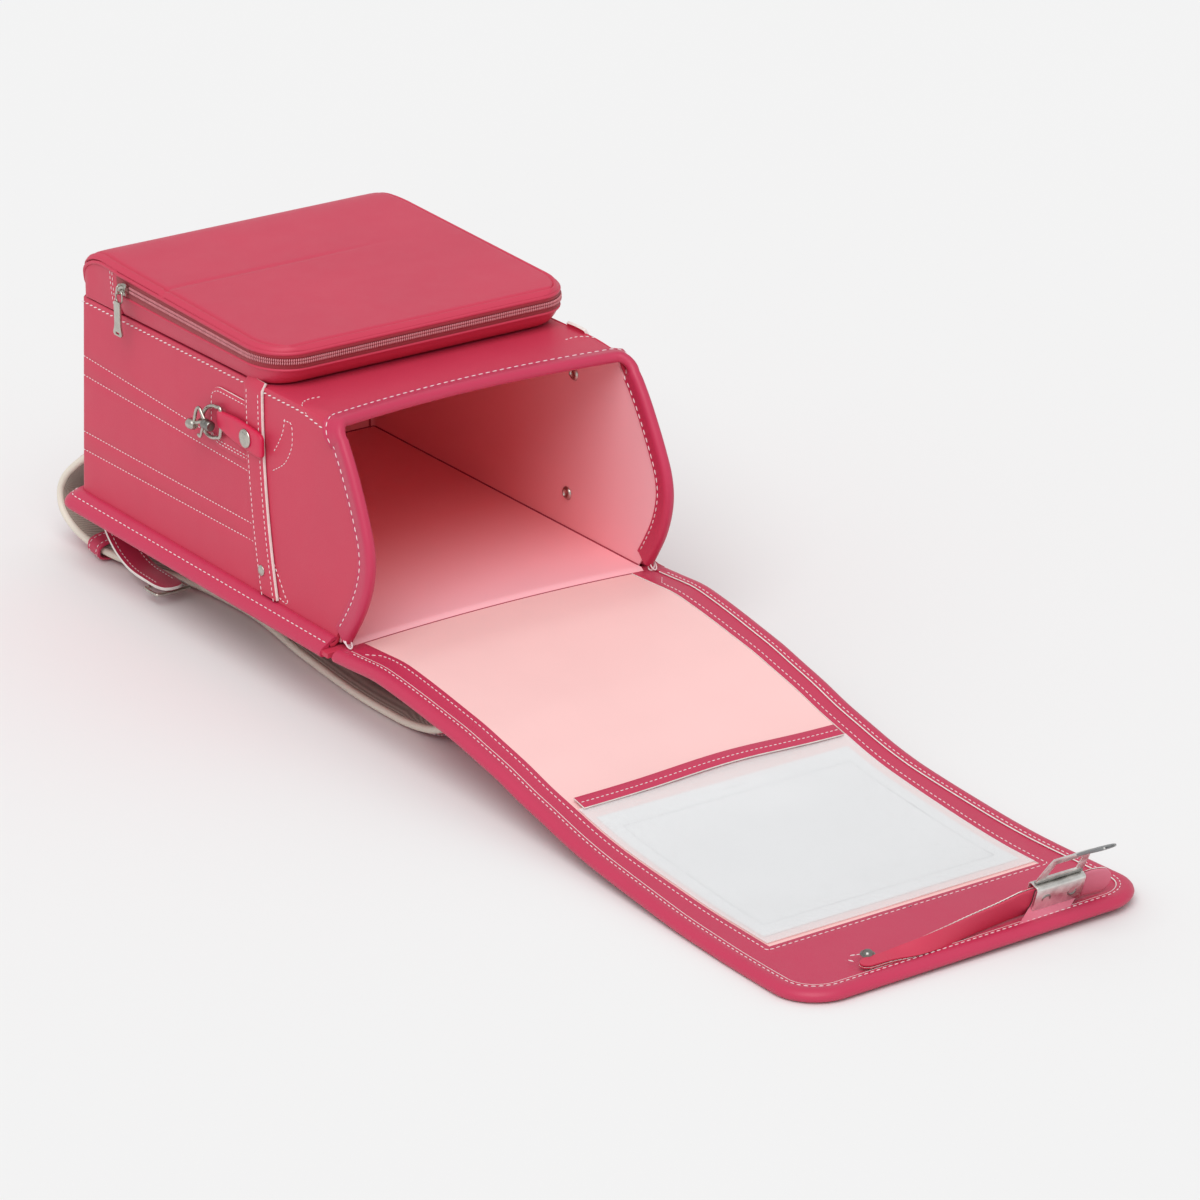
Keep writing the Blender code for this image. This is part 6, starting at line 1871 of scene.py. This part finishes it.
def make_hasp():
    """The folded hasp plate with its two punched marks, the leather under it, and the tongue."""
    placed = closure_frame(HASP_AT)
    half = HASP_WIDTH / 2
    strap_face = CLOSURE_LEATHER / 2 + 0.0008
    front = strap_face + TRIM_LEATHER + 0.0007 + HASP_METAL
    top = CLOSURE_WIDTH + 0.0008 + HASP_METAL
    fold = HASP_FOLD_ROUND
    profile = [(front, top - HASP_HEIGHT), (front, top - HASP_HEIGHT * 0.5), (front, top - fold)]
    profile += [(front - fold + fold * math.cos(a), top - fold + fold * math.sin(a))
                for a in [math.radians(d) for d in (20, 45, 70, 90)]]
    back = front - HASP_FOLD
    profile += [(back + fold - fold * math.sin(a), top - fold + fold * math.cos(a))
                for a in [math.radians(d) for d in (0, 20, 45, 70, 90)]]
    profile += [(back, top - 0.0060), (back, top - 0.0100)]
    rows = [[placed @ Vector((part * half, v, w)) for w, v in profile]
            for part in spread(-1.0, 1.0, 9)]
    obj = hide("hasp_plate_metal", rows, HASP_METAL, BRIGHT_METAL, flip=True, edge=0.0003)
    on_bag(obj, "nickel", "hasp_plate")
    for x in (-HASP_MARK_X, HASP_MARK_X):
        rings = []
        for share in spread(0.0, 1.0, 11):
            turn = math.radians(mixed(-20, 200, share)) * (1 if x < 0 else -1)
            centre = placed @ Vector((x + 0.0028 * math.cos(turn),
                                      top - HASP_HEIGHT * 0.56 + 0.0024 * math.sin(turn),
                                      front))
            size = 0.0007 * math.sin(math.pi * mixed(0.08, 0.92, share)) + 0.00012
            way = (placed.to_3x3() @ Vector((-math.sin(turn), math.cos(turn), 0))).normalized()
            out = (placed.to_3x3() @ UP).normalized()
            rings.append([centre + out * (math.sin(t) * size * 0.7)
                          + way.cross(out) * (math.cos(t) * size)
                          for t in spread(0, 2 * math.pi, 9)[:-1]])
        on_bag(ringed("hasp_mark_%d" % (x > 0), rings, DARK_NICKEL), "nickel")
    rows = []
    for v, left, right, forward in ((CLOSURE_WIDTH - 0.0008, -1.0, 1.0, 0.0),
                                    (0.0090, -1.0, 1.0, 0.0),
                                    (0.0056, -1.04, 0.98, 0.0), (0.0042, -1.12, 0.92, 0.0003),
                                    (0.0033, -1.24, 0.82, 0.0014), (0.0029, -1.42, 0.64, 0.0034),
                                    (0.0028, -1.62, 0.46, 0.0056), (0.0029, -1.80, 0.30, 0.0076),
                                    (0.0030, -1.90, 0.10, 0.0090)):
        rows.append([placed @ Vector((mixed(left, right, k / 10) * half, v,
                                      strap_face + TRIM_LEATHER + forward))
                     for k in range(11)])
    obj = hide("hasp_tab_leather", rows, TRIM_LEATHER, (BRIGHT_STRAP, DARK_CUT), flip=True)
    on_bag(obj, "grey_leather", "hasp_tab")
    pin = placed @ Vector((0, top + HINGE_PIN + GAP, front - HASP_FOLD / 2))
    make_tongue(pin, half)


def make_tongue(pin, half):
    """The hinged tongue: a barrel, a bent plate with two windows and a moulded tip."""
    steep, flat = Vector((0.0, -0.56, 0.83)), Vector((0.0, -0.88, 0.47))

    def bend(share):
        """A place along the tongue and the way it faces there, steep at first and flatter on."""
        way = steep.lerp(flat, eased((share - TONGUE_BEND + 0.10) / 0.20)).normalized()
        first = min(share, TONGUE_BEND)
        spot = pin + (steep * first + flat * (share - first)) * TONGUE_LENGTH
        return spot, ACROSS.cross(way)

    barrel = wire("tongue_barrel",
                  [pin + ACROSS * half * part for part in (-0.92, -0.4, 0.4, 0.92)],
                  HINGE_PIN, DARK_NICKEL, sides=16, first_side=UP)
    outline = ((0.0, 0.95, 0.66), (0.06, 0.95, 0.66), (0.28, 0.84, 0.66), (0.36, 0.76, 0.60),
               (0.42, 0.70, 0.58),
               (0.60, 0.53, 0.50), (0.70, 0.45, 0.50), (0.90, 0.36, 0.50), (0.97, 0.30, 0.50),
               (1.0, 0.22, 0.50))
    rows = []
    for share, width, window in outline:
        spot, out = bend(share)
        rows.append([spot + ACROSS * (s * half * width) + out * (TONGUE_METAL / 2)
                     for s in (-1, -window, 0.0, window, 1)])
    plate = hide("tongue_plate", rows, TONGUE_METAL, BRIGHT_METAL,
                 holes={(1, 1), (1, 2), (4, 1), (4, 2)},
                 edge=0.0003)
    rings = []
    for share, width, thick in ((0.64, 0.42, 0.5), (0.65, 0.53, 0.9), (0.70, 0.50, 1.1),
                                (0.84, 0.43, 1.2),
                                (0.93, 0.38, 1.2), (0.98, 0.31, 1.0), (1.0, 0.20, 0.6)):
        spot, out = bend(share)
        rings.append(rounded_ring(spot, ACROSS, out, half * width, thick * MM, 0.55))
    tip = ringed("tongue_tip", rings, GREY_PLASTIC)
    for obj, nodes in ((plate, ("hasp_tongue",)), (barrel, ()), (tip, ())):
        fitted(obj, "hasp_tongue", "nickel", *nodes)


# Back cushion, shoulder straps and what is on them

UNDER = -LINING - GAP - BOARD - GAP


def make_cushion():
    """The padded back: two crowned halves with a channel between them."""
    length, middle_y = CUSHION_END - CUSHION_START, (CUSHION_START + CUSHION_END) / 2
    rings = []
    for share in [0.5 - 0.5 * math.cos(math.pi * k / 30) for k in range(31)]:
        y = CUSHION_START + share * length
        end = (1 - abs(2 * share - 1) ** 5) ** 0.5
        half = CUSHION_HALF_WIDTH * (0.955 + 0.045 * end)
        ring = [Vector((-half, y, UNDER))]
        for part in spread(-1.0, 1.0, 33):
            side_fall = (1 - abs(part) ** 7) ** 0.5
            channel = 1 - 0.42 * math.exp(-(part / 0.085) ** 2)
            channel *= 1 - 0.13 * math.exp(-((abs(part) - 0.55) / 0.05) ** 2)
            drop = CUSHION_THICKNESS * (0.10 + 0.90 * side_fall * end * channel)
            ring.append(Vector((part * half, y, UNDER - drop)))
        ring.append(Vector((half, y, UNDER)))
        rings.append(ring)
    obj = ringed("back_cushion_pad", rings, PAD_MESH, sharp=70.0)
    on_bag(obj, "grey_leather", "back_cushion")
    edge = []
    for turn in spread(0.0, 2 * math.pi, 73)[:-1]:
        x = CUSHION_HALF_WIDTH * 0.985 * signed_power(math.cos(turn), 0.22)
        y = middle_y + length * 0.498 * signed_power(math.sin(turn), 0.22)
        edge.append(Vector((x, y, UNDER - 0.0014)))
    on_bag(wire("back_cushion_piping", edge, 0.0013, CREAM, sides=8, closed=True), "grey_leather")
    soft_block("strap_mount_plate", (0.0900, 0.0420, 0.0040), Vector((0, 0.0500, UNDER - 0.0020)),
               DARK_NICKEL,
               "nickel", "strap_mount")
    soft_block("bottom_lock_case", (0.0480, 0.0080, 0.0260),
               Vector((0, BODY_LENGTH + GAP + 0.0040, 0.0560)),
               NICKEL, "nickel", "bottom_lock")
    for x in (-LOCK_RIVET_X, LOCK_RIVET_X):
        placed = Matrix.Translation(Vector((x, BODY_LENGTH + GAP + 0.0080,
                                            0.0560))) @ Matrix.Rotation(
-math.pi / 2, 4, "X")
        profile = scaled(((0.0, 1.0), (1.4, 0.9), (2.3, 0.4), (2.5, 0.0), (0.0, -0.2)))
        on_bag(turned("lock_rivet_%d" % (x > 0), profile, placed, DARK_NICKEL), "nickel")


def soft_block(name, size, centre, finish, slot, *nodes):
    """A plate or case with rounded edges."""
    bm = bmesh.new()
    bmesh.ops.create_cube(bm, size=1.0)
    bmesh.ops.scale(bm, vec=size, verts=bm.verts)
    bmesh.ops.translate(bm, vec=centre, verts=bm.verts)
    obj = linked(name, mesh_of(bm, name), (finish,))
    round_edges = obj.modifiers.new("round_edges", "BEVEL")
    round_edges.width = min(size) * 0.30
    round_edges.segments = 4
    return on_bag(settled(obj), slot, *nodes)


def strap_path(side):
    """The shoulder strap's middle line: points, ways across its face and widths."""
    lowest = SHOULDER_THICKNESS / 2 - FLOOR_DROP
    rows = [(side * x * HALF_WIDTH, y * BODY_LENGTH, max(z * FLOOR_DROP, lowest),
             width * SHOULDER_WIDTH)
            for y, z, x, width in smoothed(SHOULDER_TABLE, 6)]
    found = []
    for i, (x, y, z, width) in enumerate(rows):
        before, after = rows[max(i - 1, 0)], rows[min(i + 1, len(rows) - 1)]
        along = Vector((0, after[1] - before[1], after[2] - before[2])).normalized()
        found.append((Vector((x, y, z)), Vector((0, -along.z, along.y)), width, along))
    return found


def make_shoulder(side, word):
    """One shoulder strap: padded mesh towards the back, leather outside, cream piping between."""
    path = strap_path(side)
    thick = SHOULDER_THICKNESS
    rings = []
    for i, (middle, normal, width, _) in enumerate(path):
        end = min(i, len(path) - 1 - i, 6) / 6
        swell = 0.45 + 0.55 * math.sqrt(end)
        ring = []
        for k in range(15):
            turn = math.radians(-8 + 196 * k / 14)
            ring.append(middle + ACROSS * (math.cos(turn) * width / 2 * 0.94)
                        + normal * (signed_power(math.sin(turn), 0.7) * thick * 0.52 * swell))
        for part in (-0.5, 0.0, 0.5):
            ring.append(middle + ACROSS * (part * width) - normal * (thick * 0.16))
        rings.append(ring)
    pad = ringed("shoulder_%s_pad" % word, rings, PAD_MESH, sharp=70.0)
    on_bag(pad, "grey_leather", "shoulder_strap_" + word)
    section = [(math.sin(part * math.pi / 2), 0.04 + 0.46 * math.cos(part * math.pi / 2) ** 0.5)
               for part in spread(-1.0, 1.0, 17)]
    rows = [[middle + ACROSS * (part * width / 2 * 0.985) - normal * (thick * deep) for part,
             deep in section]
            for middle, normal, width, _ in path]
    obj = hide("shoulder_%s_leather" % word, rows, 0.0014, LEATHER, flip=True)
    on_bag(obj, "pink_leather")
    for edge in (-1, 1):
        line = [middle + ACROSS * (edge * width / 2 * 0.93) - normal * (thick * 0.02)
                for middle, normal, width, _ in path]
        name = "shoulder_%s_piping_%s" % (word, "inner" if edge * side < 0 else "outer")
        on_bag(wire(name, line, CREAM_ROLL, CREAM, sides=10), "grey_leather")
        seam = [middle + ACROSS * (edge * (width / 2 - 0.0052)) - normal * (thick * 0.47)
                for middle, normal, width, _ in path]
        sew("shoulder_straps", "plain", seam[3:-3], [-normal for _, normal, _, _ in path[3:-3]])
    make_belt(side, word)


def make_belt(side, word):
    """The lower belt with its stitched edges, the buckle and the keeper."""
    belt = [(y * BODY_LENGTH, z * FLOOR_DROP, side * x * HALF_WIDTH) for y, z, x in BELT_TABLE]
    path = [Vector((x, y, z)) for y, z, x in smoothed(belt, 6)]
    rows, normals = [], []
    for i, point in enumerate(path):
        along = way_at(path, i)
        normal = Vector((0, -along.z, along.y)).normalized()
        normals.append(normal)
        left = len(path) - 1 - i
        half = BELT_WIDTH / 2 * (math.sqrt(1 - (1 - left / 5) ** 2) * 0.75 + 0.25 if left < 5
                                 else 1.0)
        rows.append([point + Vector((part * half, 0, 0)) + normal * (BELT_LEATHER / 2)
                     for part in spread(-1.0, 1.0, 7)])
    obj = hide("lower_belt_%s_leather" % word, rows, BELT_LEATHER, (BINDING, RAW_EDGE))
    on_bag(obj, "binding_leather", "lower_belt_" + word)
    for part in BELT_SEAMS:
        for face in (1, -1):
            line = [point + Vector((part * BELT_WIDTH / 2, 0, 0))
                    + normal * (face * BELT_LEATHER / 2)
                    for point, normal in zip(path, normals)]
            sew("lower_belts", "fine", line[:-5], [normal * face for normal in normals[:-5]])
    middle = Vector((side * 0.865 * HALF_WIDTH, 0.745 * BODY_LENGTH,
                     BELT_TABLE[-1][1] * FLOOR_DROP - BELT_LEATHER / 2 - BUCKLE_WIRE - SOFT_GAP))
    half_x, half_y = BELT_WIDTH / 2 + 0.0030, 0.0075
    frame_points = [(middle.x + i * half_x, middle.y + j * half_y, middle.z) for i, j in
                    ((-1, -0.7), (-1, 0.7), (-0.8, 1), (0.8, 1), (1, 0.7), (1, -0.7), (0.8, -1),
                     (-0.8, -1))]
    on_bag(wire("buckle_%s_frame" % word, soft_path(frame_points, 4, True), BUCKLE_WIRE, NICKEL,
                sides=10,
                closed=True), "nickel", "buckle_" + word)
    make_keeper(side, word)


def make_keeper(side, word):
    """The leather keeper round the strap near the bag's bottom."""
    path = strap_path(side)
    low = [i for i in range(1, len(path) - 1) if path[i][0].z < -0.7 * FLOOR_DROP]
    nearest = min(low, key=lambda i: abs(path[i][0].y - KEEPER_Y))
    middle, normal, _, along = path[nearest]
    half = 0.95 * SHOULDER_WIDTH / 2 + 0.0022 + KEEPER_LEATHER
    rise = SHOULDER_THICKNESS / 2 + 0.0011 + KEEPER_LEATHER
    rings = []
    section = []
    for k in range(40):
        turn = 2 * math.pi * k / 40
        section.append((signed_power(math.cos(turn), 0.45), signed_power(math.sin(turn), 0.75)))
    outer = [(c * half, s * rise) for c, s in section]
    inner = [(c * (half - KEEPER_LEATHER), s * (rise - KEEPER_LEATHER)) for c, s in section]
    for part, line in ((-0.5, inner), (-0.47, outer), (-0.25, outer), (0.0, outer), (0.25, outer),
                       (0.47, outer),
                       (0.5, inner)):
        rings.append([middle + along * (part * KEEPER_LENGTH) + Vector((a, 0, 0)) + normal * b
                      for a, b in line])
    rings.append([p - along * KEEPER_LENGTH for p in rings[-1]])
    obj = ringed("belt_keeper_%s_band" % word, rings[:-1], BINDING, closed=True)
    on_bag(obj, "binding_leather", "belt_keeper_" + word)
    for part in KEEPER_SEAMS:
        line = [middle + along * (part * KEEPER_LENGTH) + Vector((a, 0, 0)) + normal * b for a,
                b in outer]
        outs = [(Vector((a / half ** 2, 0, 0)) + normal * (b / rise ** 2)).normalized() for a,
                b in outer]
        sew("belt_keepers", "fine", line, outs)


def make_card_print():
    """A faint ruled frame and a few plain ticks on the card."""
    rise = LAYER_BASE + LINING + GAP + CARD
    half, start, end = FRAME_HALF, -CARD_START - 0.014, -CARD_END + 0.012
    corners = ((-half, start), (half, start), (half, end), (-half, end))
    lines = list(zip(corners, corners[1:] + corners[:1]))
    for k in range(5):
        y = mixed(start, end, 0.14 + 0.16 * k)
        lines.append(((half - 0.020, y), (half - 0.0165, y)))
        lines.append(((-0.052 + 0.026 * k, end + 0.020), (-0.048 + 0.026 * k, end + 0.020)))
    lines.append(((-0.006, start + 0.007), (0.010, start + 0.007)))
    bm = bmesh.new()
    for (x0, y0), (x1, y1) in lines:
        across = Vector((y1 - y0, x0 - x1, 0)).normalized() * RULE_HALF
        steps = max(2, int(math.hypot(x1 - x0, y1 - y0) / 0.006))
        before = None
        for k in range(steps + 1):
            x, y = mixed(x0, x1, k / steps), mixed(y0, y1, k / steps)
            base = Vector((x, y, flap_height(y, x) + rise + 0.00006))
            pair = (bm.verts.new(base - across), bm.verts.new(base + across))
            if before:
                bm.faces.new((before[0], before[1], pair[1], pair[0]))
            before = pair
    bmesh.ops.recalc_face_normals(bm, faces=bm.faces)
    for face in bm.faces:
        if face.normal.z < 0:
            face.normal_flip()
    obj = linked("card_ruling", mesh_of(bm, "card_ruling"), (INK,))
    solid = obj.modifiers.new("thickness", "SOLIDIFY")
    solid.thickness = 0.00005
    solid.offset = -1.0
    on_bag(settled(obj), "card_paper")


def look_from_camera():
    """The camera at the photograph's angle."""
    azimuth, elevation = math.radians(CAMERA_AZIMUTH), math.radians(CAMERA_ELEVATION)
    back = Vector((math.sin(azimuth) * math.cos(elevation),
                   -math.cos(azimuth) * math.cos(elevation),
                   math.sin(elevation)))
    right = Vector((math.cos(azimuth), math.sin(azimuth), 0))
    up = back.cross(right)
    data = bpy.data.cameras.new("camera")
    data.sensor_width = 36.0
    data.lens = CAMERA_LENS
    data.clip_end = 50.0
    camera = in_scene(bpy.data.objects.new("camera", data))
    camera.matrix_world = frame_of(right, up, back, CAMERA_PLACE)
    bpy.context.scene.camera = camera


def make_stage():
    """A pale floor, a soft sky and one broad soft light from the left."""
    scene = bpy.context.scene
    bpy.ops.mesh.primitive_plane_add(size=14.0, location=(0, 0, 0))
    floor = bpy.context.object
    floor.name = "floor"
    made, tree, shader = new_material("pale_floor", (0.87, 0.87, 0.87), 0.9)
    place = object_place(tree)
    tone = blended(tree, noise(tree, place, 2.0), (0.868, 0.868, 0.868), (0.876, 0.876, 0.876))
    tree.links.new(tone, shader.inputs["Base Color"])
    shader.inputs["Specular IOR Level"].default_value = 0.0
    floor.data.materials.append(made)
    world = bpy.data.worlds.new("soft_studio")
    scene.world = world
    world.use_nodes = True
    background = world.node_tree.nodes["Background"]
    background.inputs["Color"].default_value = (1.0, 1.0, 1.0, 1.0)
    background.inputs["Strength"].default_value = SKY_STRENGTH
    sun = bpy.data.lights.new("soft_key", "SUN")
    sun.energy = SUN_STRENGTH
    sun.angle = math.radians(SUN_ANGLE)
    key = in_scene(bpy.data.objects.new("soft_key", sun))
    key.rotation_euler = Vector(SUN_FROM).to_track_quat("Z", "Y").to_euler()
    scene.view_settings.view_transform = "Standard"


def main():
    make_gusset()
    make_gusset_lining()
    make_front()
    make_back()
    make_mouth_binding()
    make_back_binding()
    make_body_seams()
    make_flap()
    make_flap_pocket()
    make_pocket()
    make_zip()
    for side, word in SIDES:
        make_side_fittings(side, word)
        make_side_outlines(side)
        make_shoulder(side, word)
    make_seam_shade_cords()
    make_card_print()
    make_closure()
    make_cushion()
    NODES["back_panel"].material_slots[0].material = LEATHER
    make_stitches()
    look_from_camera()
    make_stage()


main()
